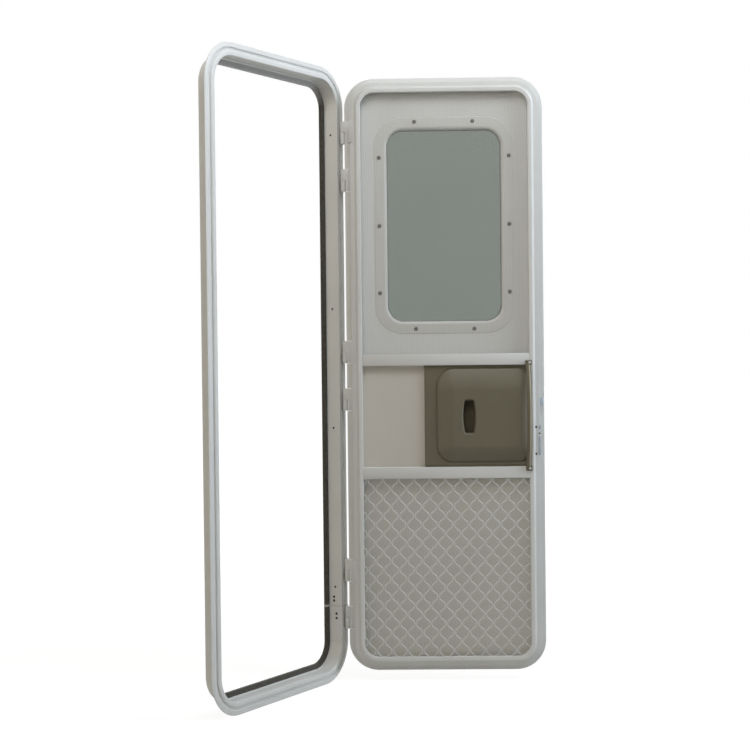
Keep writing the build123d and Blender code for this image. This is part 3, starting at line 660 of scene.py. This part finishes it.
fine = addNode(tree, "GeometryNodeResampleCurve", {"Curve": line, "Count": given["Steps"]}, mode="COUNT")
stood = addNode(tree, "GeometryNodeInstanceOnPoints", {"Points": sided, "Instance": fine})
loose = addNode(tree, "GeometryNodeRealizeInstances", {"Geometry": stood})
spot = addNode(tree, "GeometryNodeInputPosition")
spotParts = addNode(tree, "ShaderNodeSeparateXYZ", {0: spot})
turn = addNode(tree, "ShaderNodeMath", {
    0: spotParts.outputs["Y"], 1: given["Wave"], 2: given["Phase"],
}, operation="MULTIPLY_ADD")
sideBack = addNode(tree, "GeometryNodeInputNamedAttribute", {"Name": "side"}, data_type="FLOAT")
# a steep zigzag, cut off flat where two strips meet and mirrored from strip to strip
swing = turn
for operation, *others in (
    ("SINE",), ("ARCSINE",), ("MULTIPLY", 2 / math.pi), ("MULTIPLY", given["Steepness"]),
    ("SMOOTH_MIN", 1.0, given["Easing"]), ("SMOOTH_MAX", -1.0, given["Easing"]),
    ("MULTIPLY", sideBack), ("MULTIPLY", given["Swing"]),
):
    swing = addNode(tree, "ShaderNodeMath", dict(enumerate([swing, *others])), operation=operation)
swingX = addNode(tree, "ShaderNodeCombineXYZ", {"X": swing})
waved = addNode(tree, "GeometryNodeSetPosition", {"Geometry": loose, "Offset": swingX})
# what would reach past the leaf's rounded lower corners is cut off
reach = addNode(tree, "ShaderNodeMath", {0: spotParts.outputs["X"]}, operation="ABSOLUTE")
past = []
for far, near in ((reach, given["Corner X"]), (given["Corner Z"], spotParts.outputs["Y"])):
    over = addNode(tree, "ShaderNodeMath", {0: far, 1: near}, operation="SUBTRACT")
    past.append(addNode(tree, "ShaderNodeMath", {0: over, 1: 0.0}, operation="MAXIMUM"))
pastBoth = addNode(tree, "ShaderNodeCombineXYZ", {"X": past[0], "Y": past[1]})
pastSize = addNode(tree, "ShaderNodeVectorMath", {0: pastBoth}, operation="LENGTH")
outside = addNode(tree, "FunctionNodeCompare", {
    0: pastSize.outputs["Value"], 1: given["Corner R"],
}, operation="GREATER_THAN", data_type="FLOAT")
trimmed = addNode(tree, "GeometryNodeDeleteGeometry", {
    "Geometry": waved, "Selection": outside,
}, domain="POINT")
level = addNode(tree, "GeometryNodeSetCurveNormal", {"Curve": trimmed}, mode="Z_UP")
# slanted runs are twisted a little, as in an expanded sheet
lean = turn
for operation, *others in (("COSINE",), ("MULTIPLY", sideBack), ("MULTIPLY", given["Twist"])):
    lean = addNode(tree, "ShaderNodeMath", dict(enumerate([lean, *others])), operation=operation)
twisted = addNode(tree, "GeometryNodeSetCurveTilt", {"Curve": level, "Tilt": lean})
strap = addNode(tree, "GeometryNodeCurvePrimitiveQuadrilateral", {
    "Width": given["Thickness"], "Height": given["Depth"],
}, mode="RECTANGLE")
strapEdge = addNode(tree, "GeometryNodeFilletCurve", {
    "Curve": strap, "Count": 2, "Radius": grille["edgeRound"] * mm, "Limit Radius": True,
}, mode="POLY")
strips = addNode(tree, "GeometryNodeCurveToMesh", {
    "Curve": twisted, "Profile Curve": strapEdge, "Fill Caps": True,
})
grilleStrips = endTree(tree, given, strips)

grilleMesh = runTree(grilleStrips, bpy.data.meshes.new("strips"), {
    "Strips": grille["strips"], "Spacing": grille["spacing"] * mm, "Steps": grille["steps"],
    "Start": (grille["firstX"] * mm, 0, grille["level"] * mm),
    "Low": (0, grille["low"] * mm, 0), "High": (0, grille["high"] * mm, 0),
    "Wave": 2 * math.pi / (grille["period"] * mm),
    "Phase": -2 * math.pi * grille["shiftZ"] / grille["period"],
    "Steepness": grille["steepness"], "Easing": grille["easing"], "Twist": math.radians(grille["twist"]),
    "Swing": 0.5 * (grille["spacing"] - grille["thickness"] - grille["gap"]) * mm,
    "Thickness": grille["thickness"] * mm, "Depth": grille["depth"] * mm, "Corner X": grille["cornerX"] * mm,
    "Corner Z": grille["cornerZ"] * mm, "Corner R": grille["cornerR"] * mm, "Finish": millAluminium,
})
place("diamondGrille", grilleMesh, "screen_door", None, ("diamond_grille",), leafFrame,
      crease=45, closed=False)
print("stage: grille made,", len(grilleMesh.polygons), "faces")


def sheetOutline(low, high, roundLow, roundHigh, halfWidth, corner, steps=10):
    points = []
    corners = ((1, 1, roundHigh), (-1, 1, roundHigh), (-1, -1, roundLow), (1, -1, roundLow))
    for index, (sideX, sideZ, isRound) in enumerate(corners):
        edge = high if sideZ > 0 else low
        if not isRound:
            points.append((sideX * halfWidth, edge))
            continue
        for k in range(steps + 1):
            turnAngle = math.radians(90 * index + 90 * k / steps)
            points.append((
                sideX * (halfWidth - corner) + corner * math.cos(turnAngle),
                edge - sideZ * corner + corner * math.sin(turnAngle),
            ))
    return points


# fly mesh: two stretched sheets, clamped under the crown and the rails
flySheets = {
    "halfWidth": 265.0, "corner": 47.0, "depth": 17.4, "upper": (63.0, 888.5), "lower": (-888.5, -320.0),
}
for name, node, (low, high), rounds, finish in (
    ("upperFlyMesh", "upper_mesh", flySheets["upper"], (False, True), upperWeave),
    ("lowerFlyMesh", "lower_mesh", flySheets["lower"], (True, False), lowerWeave),
):
    rim = sheetOutline(low, high, rounds[0], rounds[1], flySheets["halfWidth"], flySheets["corner"])
    rimVerts = [(x * mm, z * mm, flySheets["depth"] * mm) for x, z in rim]
    mesh = newMesh(name, rimVerts, (), [tuple(range(len(rim)))])
    piece = place(name, mesh, "screen_door", finish, (node,), leafFrame, closed=False)
print("stage: fly mesh stretched")

# slider: flat base strip, a small step, then a pillow with wide slopes and a barrel-shaped finger recess
slider = {
    "start": -67.0, "end": 258.0, "half": 155.5, "back": 18.0, "base": 21.0, "crown": 19.0,
    "step": 2.6, "stepShare": 0.03, "groove": 1.6, "grooveAt": 1.02, "grooveHalf": 0.035,
    "fieldStart": 38.5, "leftSlope": 52.0, "rightSlope": 30.0, "rightShare": 0.75,
    "top": 149.0, "topSlope": 66.0, "bottom": -144.0, "bottomSlope": 50.0, "bulge": 1.5,
    "edgeRound": 1.2, "edgeReach": 2.0, "coarse": 1.6, "fine": 0.8,
    "tongueHalf": 163.0, "tongueThick": 1.8, "tongueGap": 0.1,
}
recess = {
    "at": 139.0, "rise": -2.0, "halfWidth": 13.2, "halfHeight": 51.5, "bulge": 5.5, "corner": 5.0,
    "rim": 4.0, "rimDrop": 4.2, "rimPower": 1.3, "wall": 2.0, "floor": 18.8,
    "fineX": 25.0, "fineZ": 58.0, "textureFrom": 0.6,
}
sliderLength = slider["end"] - slider["start"]


def insideRecess(along, rise):
    # distance inside the barrel outline of the finger recess, negative outside it
    offset = rise - recess["rise"]
    width = recess["halfWidth"] + recess["bulge"] * (1 - (offset / recess["halfHeight"]) ** 2)
    pastX = abs(along - recess["at"]) - (width - recess["corner"])
    pastZ = abs(offset) - (recess["halfHeight"] - recess["corner"])
    return recess["corner"] - math.hypot(max(pastX, 0.0), max(pastZ, 0.0)) - min(max(pastX, pastZ), 0.0)


def pillowDepth(along, rise):
    leftPast = (slider["fieldStart"] + slider["leftSlope"] - along) / slider["leftSlope"]
    rightPast = (along - (sliderLength - slider["rightSlope"])) / slider["rightSlope"] * slider["rightShare"]
    topPast = (rise - (slider["top"] - slider["topSlope"])) / slider["topSlope"]
    bottomPast = ((slider["bottom"] + slider["bottomSlope"]) - rise) / slider["bottomSlope"]
    reach = math.hypot(max(0.0, leftPast, rightPast), max(0.0, topPast, bottomPast))
    ratio = min(reach, 1.0)
    fall = ratio ** slider["bulge"]
    edge = min(1.0, (1.0 - ratio) / slider["stepShare"])
    depth = slider["base"] + slider["crown"] * (1 - fall) + slider["step"] * edge * edge * (3 - 2 * edge)
    depth -= slider["groove"] * max(0.0, 1 - abs(reach - slider["grooveAt"]) / slider["grooveHalf"])
    inside = insideRecess(along, rise) + recess["rim"]
    if inside > 0:
        # a soft lip all round, then a steep wall to the floor
        depth -= recess["rimDrop"] * min(1.0, inside / recess["rim"]) ** recess["rimPower"]
        depth += (recess["floor"] - depth) * min(1.0, max(0.0, (inside - recess["rim"]) / recess["wall"]))
    # rounded free edges of the moulding
    edgeGap = min(along, sliderLength - along, slider["half"] - abs(rise))
    return depth - slider["edgeRound"] * max(0.0, 1 - edgeGap / slider["edgeReach"]) ** 2


def gridLines(low, high, fineLow, fineHigh):
    # lines from low to high, close together where the recess is
    coarse, fine = slider["coarse"], slider["fine"]
    lines = [low]
    for first, last, gap in ((low, fineLow, coarse), (fineLow, fineHigh, fine), (fineHigh, high, coarse)):
        count = math.ceil((last - first) / gap)
        lines += [first + (last - first) * (k + 1) / count for k in range(count)]
    return lines


alongs = gridLines(0.0, sliderLength, recess["at"] - recess["fineX"], recess["at"] + recess["fineX"])
rises = gridLines(-slider["half"], slider["half"],
                  recess["rise"] - recess["fineZ"], recess["rise"] + recess["fineZ"])
countX, countZ = len(alongs), len(rises)
verts = [
    ((slider["start"] + along) * mm, (doorSet["middleRise"] + rise) * mm, pillowDepth(along, rise) * mm)
    for rise in rises for along in alongs
]
faces, inRecess = [], []
for iz in range(countZ - 1):
    for ix in range(countX - 1):
        corner = iz * countX + ix
        faces.append((corner, corner + 1, corner + countX + 1, corner + countX))
        depthInside = insideRecess((alongs[ix] + alongs[ix + 1]) / 2, (rises[iz] + rises[iz + 1]) / 2)
        inRecess.append(depthInside > recess["textureFrom"])
rimLoop = list(range(countX)) + [iz * countX + countX - 1 for iz in range(1, countZ)]
rimLoop += [(countZ - 1) * countX + ix for ix in range(countX - 2, -1, -1)]
rimLoop += [iz * countX for iz in range(countZ - 2, 0, -1)]
backStart = len(verts)
verts += [(verts[i][0], verts[i][1], slider["back"] * mm) for i in rimLoop]
for k in range(len(rimLoop)):
    after = (k + 1) % len(rimLoop)
    faces.append((rimLoop[after], rimLoop[k], backStart + k, backStart + after))
faces.append(tuple(backStart + k for k in reversed(range(len(rimLoop)))))
for low, high in ((-slider["tongueHalf"], -slider["half"]), (slider["half"], slider["tongueHalf"])):
    first = len(verts)
    verts += boxVerts(
        slider["start"], slider["end"], doorSet["middleRise"] + low, doorSet["middleRise"] + high,
        slider["back"] + slider["tongueGap"], slider["back"] + slider["tongueThick"],
    )
    faces += [tuple(first + i for i in face) for face in boxFaces]
sliderMesh = newMesh("slider", verts, (), faces)
sliderMesh.materials.append(olivePlastic)
# faces deep in the finger recess take the darker finish, painted shade
sliderMesh.materials.append(olivePaintedShade)
inRecess += [False] * (len(faces) - len(inRecess))
sliderMesh.polygons.foreach_set("material_index", [int(flag) for flag in inRecess])
place("sliderPanel", sliderMesh, "slider", None, ("slider_panel",), leafFrame, crease=50)
print("stage: slider moulded")

# pull handle: a bowed bar swept along its arc, on two rounded feet, with a rib along its crown
handle = {
    "x": 258.5, "half": 172.5, "barHalf": 162.9, "face": 29.0, "lift": 2.6, "bow": 20.0, "bowPower": 2.4,
    "sway": 2.0, "swayPower": 3, "bar": (16.5, 9.0), "barSides": 28, "steps": 40,
    "rib": (5.0, 3.4), "ribShift": 2.6, "ribSink": 0.9, "ribShare": 0.97,
    "foot": (20.0, 17.0, 6.5), "footRound": 1.8,
}
tree, given = newTree("bentBar", {"Vector": ("Bar Size",)})
route = addNode(tree, "GeometryNodeMeshToCurve", {"Mesh": given["Geometry"]})
bar = addNode(tree, "GeometryNodeCurvePrimitiveCircle", {
    "Resolution": handle["barSides"], "Radius": 0.5,
}, mode="RADIUS")
oval = addNode(tree, "GeometryNodeTransform", {"Geometry": bar, "Scale": given["Bar Size"]})
barMesh = addNode(tree, "GeometryNodeCurveToMesh", {"Curve": route, "Profile Curve": oval, "Fill Caps": True})
bentBar = endTree(tree, given, barMesh)


def bowedBar(size, shiftX, shiftDepth, share, finish):
    arc = []
    for k in range(handle["steps"] + 1):
        t = -1 + 2 * k / handle["steps"]
        arc.append((
            (handle["x"] + shiftX + handle["sway"] * (0.5 - abs(t) ** handle["swayPower"])) * mm,
            (doorSet["middleRise"] + t * handle["barHalf"] * share) * mm,
            (handle["face"] + handle["lift"] + shiftDepth
             + handle["bow"] * (1 - abs(t * share) ** handle["bowPower"])) * mm,
        ))
    arcMesh = newMesh("arc", arc, [(i, i + 1) for i in range(len(arc) - 1)])
    return runTree(bentBar, arcMesh, {"Bar Size": (size[0] * mm, size[1] * mm, 1.0), "Finish": finish})


pullMesh = bowedBar(handle["bar"], 0.0, 0.0, 1.0, oliveNylon)
ribDepth = 0.5 * handle["bar"][1] - handle["ribSink"]
# the rib along the bar's crown carries the painted highlight
ribMesh = bowedBar(handle["rib"], handle["ribShift"], ribDepth, handle["ribShare"], ribPaintedHighlight)
place("handleRib", ribMesh, "screen_door", None, (), leafFrame)
footWidth, footHeight, footThick = handle["foot"]
feet = []
for end in (-1, 1):
    rise = doorSet["middleRise"] + end * (handle["half"] - footHeight / 2)
    feet.append((
        handle["x"] - footWidth / 2, handle["x"] + footWidth / 2,
        rise - footHeight / 2, rise + footHeight / 2, handle["face"], handle["face"] + footThick,
    ))
shell = bmesh.new()
shell.from_mesh(pullMesh)
shell.from_mesh(roundedBoxes("feet", handle["footRound"], 3, *feet))
shell.to_mesh(pullMesh)
shell.free()
place("pullHandle", pullMesh, "screen_door", oliveNylon, ("pull_handle",), leafFrame)
print("stage: handle made")

# hinge halves, each riding on the body that its name begins with
hinge = {
    "edge": 0.7, "barrel": {"solid": 7.0, "shown": 8.4, "slack": 0.1},
    "bodies": {"frame_hinge": "frame", "screen_hinge": "screen_door", "main_hinge": "main_door"},
}
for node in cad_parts:
    for start, body in hinge["bodies"].items():
        if node.startswith(start):
            softened(node, hinge["edge"], powderCoat, body, barrel=hinge["barrel"])

# solids that keep their shape, with rounded edges or as they are
softened("upper_rail", 1.2, powderCoat, "screen_door")
softened("lower_rail", 1.2, powderCoat, "screen_door")
softened("latch_bolt", 0.9, zincSteel, "latch")
softened("strike_plate", 0.3, zincSteel, "frame")
softened("outer_handle", 2.0, blackNylon, "main_door", segments=3)
softened("inner_lock_plate", 0.9, blackNylon, "main_door")
for node, finish in (
    ("inner_skin", leafSheet), ("outer_skin", leafSheet), ("foam_core", coreFoam), ("window_pane", acrylic),
    ("fixed_panel", board), ("lock_case", zincSteel), ("joint_plate", millAluminium),
):
    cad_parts[node].material_slots[0].material = finish
print("stage: solids finished")

# screen lock: a slim forend on the flange's edge, its tongue above it
screenLock = {
    "plate": (290.9, 296.5, -254.5, -194.5, 10.6, 15.3), "tongue": (290.9, 297.0, -172.0, -161.0, 10.6, 15.0),
    "edge": 0.8,
}
lockMesh = roundedBoxes("screenForend", screenLock["edge"], 2, screenLock["plate"], screenLock["tongue"])
place("screenForend", lockMesh, "screen_door", zincSteel, ("screen_forend",), leafFrame)

# fasteners: one shape set on every point, facing the way its surface faces and turned at random
tree, given = newTree("scatterFasteners", {"Object": ("Shape",), "Float": ("Spin",), "Int": ("Seed",)})
facing = addNode(tree, "GeometryNodeInputNamedAttribute", {"Name": "facing"}, data_type="FLOAT_VECTOR")
stand = addNode(tree, "FunctionNodeAlignRotationToVector", {"Vector": facing}, axis="Z")
spin = addNode(tree, "FunctionNodeRandomValue", {
    2: 0.0, 3: given["Spin"], "Seed": given["Seed"],
}, data_type="FLOAT")
spinTurn = addNode(tree, "FunctionNodeAxisAngleToRotation", {"Axis": (0, 0, 1), "Angle": spin.outputs[1]})
stance = addNode(tree, "FunctionNodeRotateRotation", {
    "Rotation": stand, "Rotate By": spinTurn,
}, rotation_space="LOCAL")
fastener = addNode(tree, "GeometryNodeObjectInfo", {"Object": given["Shape"]})
setOut = addNode(tree, "GeometryNodeInstanceOnPoints", {
    "Points": given["Geometry"], "Instance": fastener.outputs["Geometry"], "Rotation": stance,
})
scatterFasteners = endTree(tree, given, setOut)


def scatter(name, body, finish, slot, shape, points, spin=6.28, seed=3):
    mesh = newMesh(name, [tuple(spot) for spot, _ in points])
    heading = mesh.attributes.new("facing", "FLOAT_VECTOR", "POINT")
    heading.data.foreach_set("vector", [c for _, way in points for c in way])
    made = runTree(scatterFasteners, mesh, {"Shape": shape, "Spin": spin, "Seed": seed, "Finish": finish})
    bpy.data.objects.remove(shape)
    return place(name, made, body, None, (), closed=False)


def pressCross(shape, width, length, floor, top):
    # presses a cross into the top of a turned screw head
    for wide, tall in ((width, length), (length, width)):
        arm = boxMesh("cross", (-wide / 2, wide / 2, -tall / 2, tall / 2, floor, top + 1))
        shape.data = carved(shape.data, arm)


# each kind: name, body, finish and slot, turned profile, sides, a cross (width, length, floor) if it has one,
# and spots (x, height, depth) on the leaf or the jamb
fasteners = (
    {
        "piece": ("ringScrewCaps", "main_door", capPlastic, "black_plastic"),
        "profile": (
            (0, -0.2), (6.2, -0.2), (6.4, 0.5), (5.6, 1.7), (3.6, 2.5), (1.8, 2.75), (1.2, 2.2), (0, 2.1),
        ),
        "sides": 20, "on": "leaf",
        "spots": [(x, z, 6.1) for x, z in (
            (-91, 795), (91, 795), (-203, 684), (204, 686), (-203, 470), (204, 472), (-203, 259), (204, 260),
            (-91, 146), (92, 145),
        )],
    },
    {
        "piece": ("screenLockScrews", "screen_door", darkSteel, "zinc_steel"),
        "profile": ((0, -0.3), (4.0, -0.3), (4.2, 0.3), (3.0, 1.2), (0, 1.5)), "sides": 16,
        "cross": (1.0, 4.4, 0.5), "on": "leaf", "spots": [(281.5, -165.6, 14.0), (281.5, -250.1, 14.0)],
    },
    {
        "piece": ("forendScrew", "screen_door", darkSteel, "zinc_steel"),
        "profile": ((0, -0.5), (2.6, -0.5), (2.8, 0.6), (2.0, 1.3), (0, 1.6)), "sides": 12,
        "on": "leaf", "spots": [(293.2, -185.5, 13.8)],
    },
    {
        "piece": ("handleScrews", "screen_door", millAluminium, "zinc_steel"),
        "profile": ((0, -0.3), (3.6, -0.3), (3.8, 0.4), (2.7, 1.5), (0, 1.9)), "sides": 16,
        "cross": (0.9, 3.8, 0.8), "on": "leaf",
        "spots": [(x, z, handle["face"] + footThick) for x, z in ((261.5, 37.5), (261.0, -293.5))],
    },
    {
        "piece": ("jambScrews", "frame", darkSteel, "zinc_steel"),
        "profile": ((0, -0.5), (2.2, -0.5), (3.6, 0.1), (2.8, 0.7), (0, 0.9)), "sides": 16,
        "cross": (0.9, 3.4, 0.1), "on": "jamb",
        "spots": [(x, z, 18.5) for x in (301.0, -301.0) for z in (-671.0, -165.0, 212.0, 761.0)],
    },
    {
        "piece": ("jointRivets", "frame", darkSteel, "zinc_steel"),
        "profile": ((0, -0.2), (4.2, -0.2), (4.2, 0.3), (3.1, 1.1), (1.7, 1.3), (1.4, 0.7), (0, 0.7)),
        "sides": 14, "on": "jamb",
        "spots": [(301.0, -703.0, 23.8), (301.0, -715.0, 23.8), (301.0, -756.0, 14.9), (301.0, -770.5, 14.9)],
    },
)
leafIn = (leafFrame.to_3x3() @ Vector((0, 0, 1))).normalized()
for kind in fasteners:
    points = []
    for x, z, depth in kind["spots"]:
        if kind["on"] == "leaf":
            points.append((leafFrame @ Vector((x * mm, z * mm, depth * mm)), leafIn))
        else:
            # in the jamb's reveals they face across the opening
            inReveal = Vector((x * mm, depth * mm, (doorSet["midRise"] + z) * mm))
            points.append((inReveal, (-1 if x > 0 else 1, 0, 0)))
    shape = lathe(kind["profile"], kind["sides"])
    if "cross" in kind:
        pressCross(shape, *kind["cross"], top=kind["profile"][-1][1])
    scatter(*kind["piece"], shape, points)

# bonds of the grille: where two strips meet, a small web set back between them
bond = {"wide": 4.8, "tall": 5.0, "thick": 1.0, "setBack": 2.4, "endGap": 8, "cornerGap": 4, "turns": 20}
bondMesh = boxMesh("bond", (
    -bond["wide"] / 2, bond["wide"] / 2, -bond["tall"] / 2, bond["tall"] / 2, 0, bond["thick"],
))
bondPoints = []
for k in range(grille["strips"] - 1):
    x = grille["firstX"] + (k + 0.5) * grille["spacing"]
    first = grille["shiftZ"] + grille["period"] * (0.25 if k % 2 == 0 else 0.75)
    for turnCount in range(-bond["turns"], 0):
        z = first + turnCount * grille["period"]
        pastX, pastZ = max(abs(x) - grille["cornerX"], 0.0), max(grille["cornerZ"] - z, 0.0)
        inBay = grille["low"] + bond["endGap"] < z < grille["high"] - bond["endGap"]
        if inBay and math.hypot(pastX, pastZ) < grille["cornerR"] - bond["cornerGap"]:
            bondPoints.append((Vector((x * mm, z * mm, (grille["level"] - bond["setBack"]) * mm)), (0, 0, 1)))
bondShape = bpy.data.objects.new("bond", bondMesh)
bonds = scatter("grilleBonds", "screen_door", millAluminium, "powder_coat", bondShape, bondPoints, spin=0.0)
bonds.data.transform(leafFrame)
print("stage: fasteners set")

# studio: pale floor that reads as white, soft lamps, camera where the picture was taken from
studio = {
    "floorZ": -14.6, "floorHalf": 30.0, "floorTones": ("#d8d5cf", "#dedbd6"), "floorPatchMm": 2000 / 3,
    "floorNear": 0.76, "floorFar": 0.88, "floorGlow": 1.2, "nearRadius": 1.2, "farRadius": 4.0,
    "worldTop": "#000000", "worldLow": "#ffe9c8", "worldStrength": 0.08, "worldFrom": -0.4, "worldTo": 0.7,
    "aim": (0.2, -0.2, 1.0),
    # name, degrees round from straight in front of the wall towards the hinge side, degrees up,
    # metres away, metres across, watts, colour
    "lamps": (
        ("key", 20.0, 40.0, 3.2, 1.4, 61.0, "#e8f2ff"),
        ("overCamera", -58.0, 57.0, 3.0, 1.6, 40.0, "#fcfdff"),
        ("left", -105.0, 12.0, 5.5, 2.4, 56.0, "#fff0da"),
        ("front", 25.0, 2.0, 5.5, 1.6, 78.0, "#e6f0ff"),
        ("rim", -160.0, 12.0, 5.5, 3.0, 20.0, "#ffffff"),
        ("outside", 150.0, 2.0, 3.8, 2.0, 58.0, "#ffffff"),
    ),
}


def seenRays(tree):
    # 1 for rays that reach the camera straight, through the pane or off a gloss, 0 for those that light
    rays = addNode(tree, "ShaderNodeLightPath")
    seen = rays.outputs["Is Camera Ray"]
    for label in ("Is Transmission Ray", "Is Glossy Ray"):
        seen = addNode(tree, "ShaderNodeMath", {0: seen, 1: rays.outputs[label]}, operation="MAXIMUM")
    return seen


floorMaterial = bpy.data.materials.new("paleFloor")
floorTree = freshTree(floorMaterial)
floorCoords = addNode(floorTree, "ShaderNodeTexCoord").outputs["Object"]
floorTone = clouds(floorTree, floorCoords, studio["floorPatchMm"], 2.0, studio["floorTones"])
floorSpread = addNode(floorTree, "ShaderNodeBsdfDiffuse", {"Color": floorTone})
floorGlow = addNode(floorTree, "ShaderNodeEmission", {"Color": (1, 1, 1, 1), "Strength": studio["floorGlow"]})
farOut = addNode(floorTree, "ShaderNodeVectorMath", {0: floorCoords}, operation="LENGTH")
glowShare = addNode(floorTree, "ShaderNodeMapRange", {
    "Value": farOut.outputs["Value"], "From Min": studio["nearRadius"], "From Max": studio["farRadius"],
    "To Min": studio["floorNear"], "To Max": studio["floorFar"],
})
share = addNode(floorTree, "ShaderNodeMath", {0: seenRays(floorTree), 1: glowShare}, operation="MULTIPLY")
floorMix = addNode(floorTree, "ShaderNodeMixShader", {0: share, 1: floorSpread, 2: floorGlow})
addNode(floorTree, "ShaderNodeOutputMaterial", {"Surface": floorMix})
half = studio["floorHalf"]
floorCorners = [(x * half, y * half, studio["floorZ"] * mm) for x, y in ((-1, -1), (1, -1), (1, 1), (-1, 1))]
floorMesh = newMesh("floor", floorCorners, (), [(0, 1, 2, 3)])
floorMesh.materials.append(floorMaterial)
floor = newObject("floor", floorMesh)

world = bpy.data.worlds.new("studioWorld")
bpy.context.scene.world = world
worldTree = freshTree(world)
worldCoords = addNode(worldTree, "ShaderNodeTexCoord").outputs["Generated"]
way = addNode(worldTree, "ShaderNodeSeparateXYZ", {0: worldCoords})
upward = addNode(worldTree, "ShaderNodeMapRange", {
    "Value": way.outputs["Z"], "From Min": studio["worldFrom"], "From Max": studio["worldTo"],
})
sky = addNode(worldTree, "ShaderNodeMix", {
    0: upward, 6: toLinear(studio["worldLow"]), 7: toLinear(studio["worldTop"]),
}, data_type="RGBA")
ambient = addNode(worldTree, "ShaderNodeBackground", {
    "Color": sky.outputs[2], "Strength": studio["worldStrength"],
})
backdrop = addNode(worldTree, "ShaderNodeBackground", {"Color": (1, 1, 1, 1), "Strength": 1.0})
worldMix = addNode(worldTree, "ShaderNodeMixShader", {0: seenRays(worldTree), 1: ambient, 2: backdrop})
addNode(worldTree, "ShaderNodeOutputWorld", {"Surface": worldMix})

for lampName, around, upAngle, lampFar, lampSize, lampPower, lampColour in studio["lamps"]:
    lampData = bpy.data.lights.new(lampName, "AREA")
    lampData.shape = "DISK"
    lampData.size = lampSize
    lampData.energy = lampPower
    lampData.color = toLinear(lampColour)[:3]
    lamp = newObject(lampName, lampData)
    turnRound, turnUp = math.radians(around), math.radians(upAngle)
    toLamp = Vector((
        math.sin(turnRound) * math.cos(turnUp), -math.cos(turnRound) * math.cos(turnUp), math.sin(turnUp),
    ))
    lamp.location = Vector(studio["aim"]) + lampFar * toLamp
    lamp.rotation_euler = toLamp.to_track_quat("Z", "Y").to_euler()
    lamp.visible_transmission = False  # no lamp shows through the pane

viewpoint = {
    "place": (-3.4574793, -2.5919614, 1.038105), "yaw": 56.8856, "pitch": -1.0968, "roll": -0.5941,
    "lens": 69.2276, "sensor": 36.0, "clipEnd": 200.0,
}
yaw, pitch, roll = (math.radians(viewpoint[k]) for k in ("yaw", "pitch", "roll"))
cameraData = bpy.data.cameras.new("camera")
cameraData.lens = viewpoint["lens"]
cameraData.sensor_width = viewpoint["sensor"]
cameraData.sensor_fit = "HORIZONTAL"
cameraData.clip_end = viewpoint["clipEnd"]
camera = newObject("camera", cameraData)
camera.matrix_world = (
    Matrix.Translation(viewpoint["place"]) @ Matrix.Rotation(-yaw, 4, "Z")
    @ Matrix.Rotation(math.pi / 2 + pitch, 4, "X") @ Matrix.Rotation(roll, 4, "Z")
)
bpy.context.scene.camera = camera
bpy.context.scene.view_settings.view_transform = "Standard"
print("stage: studio set")
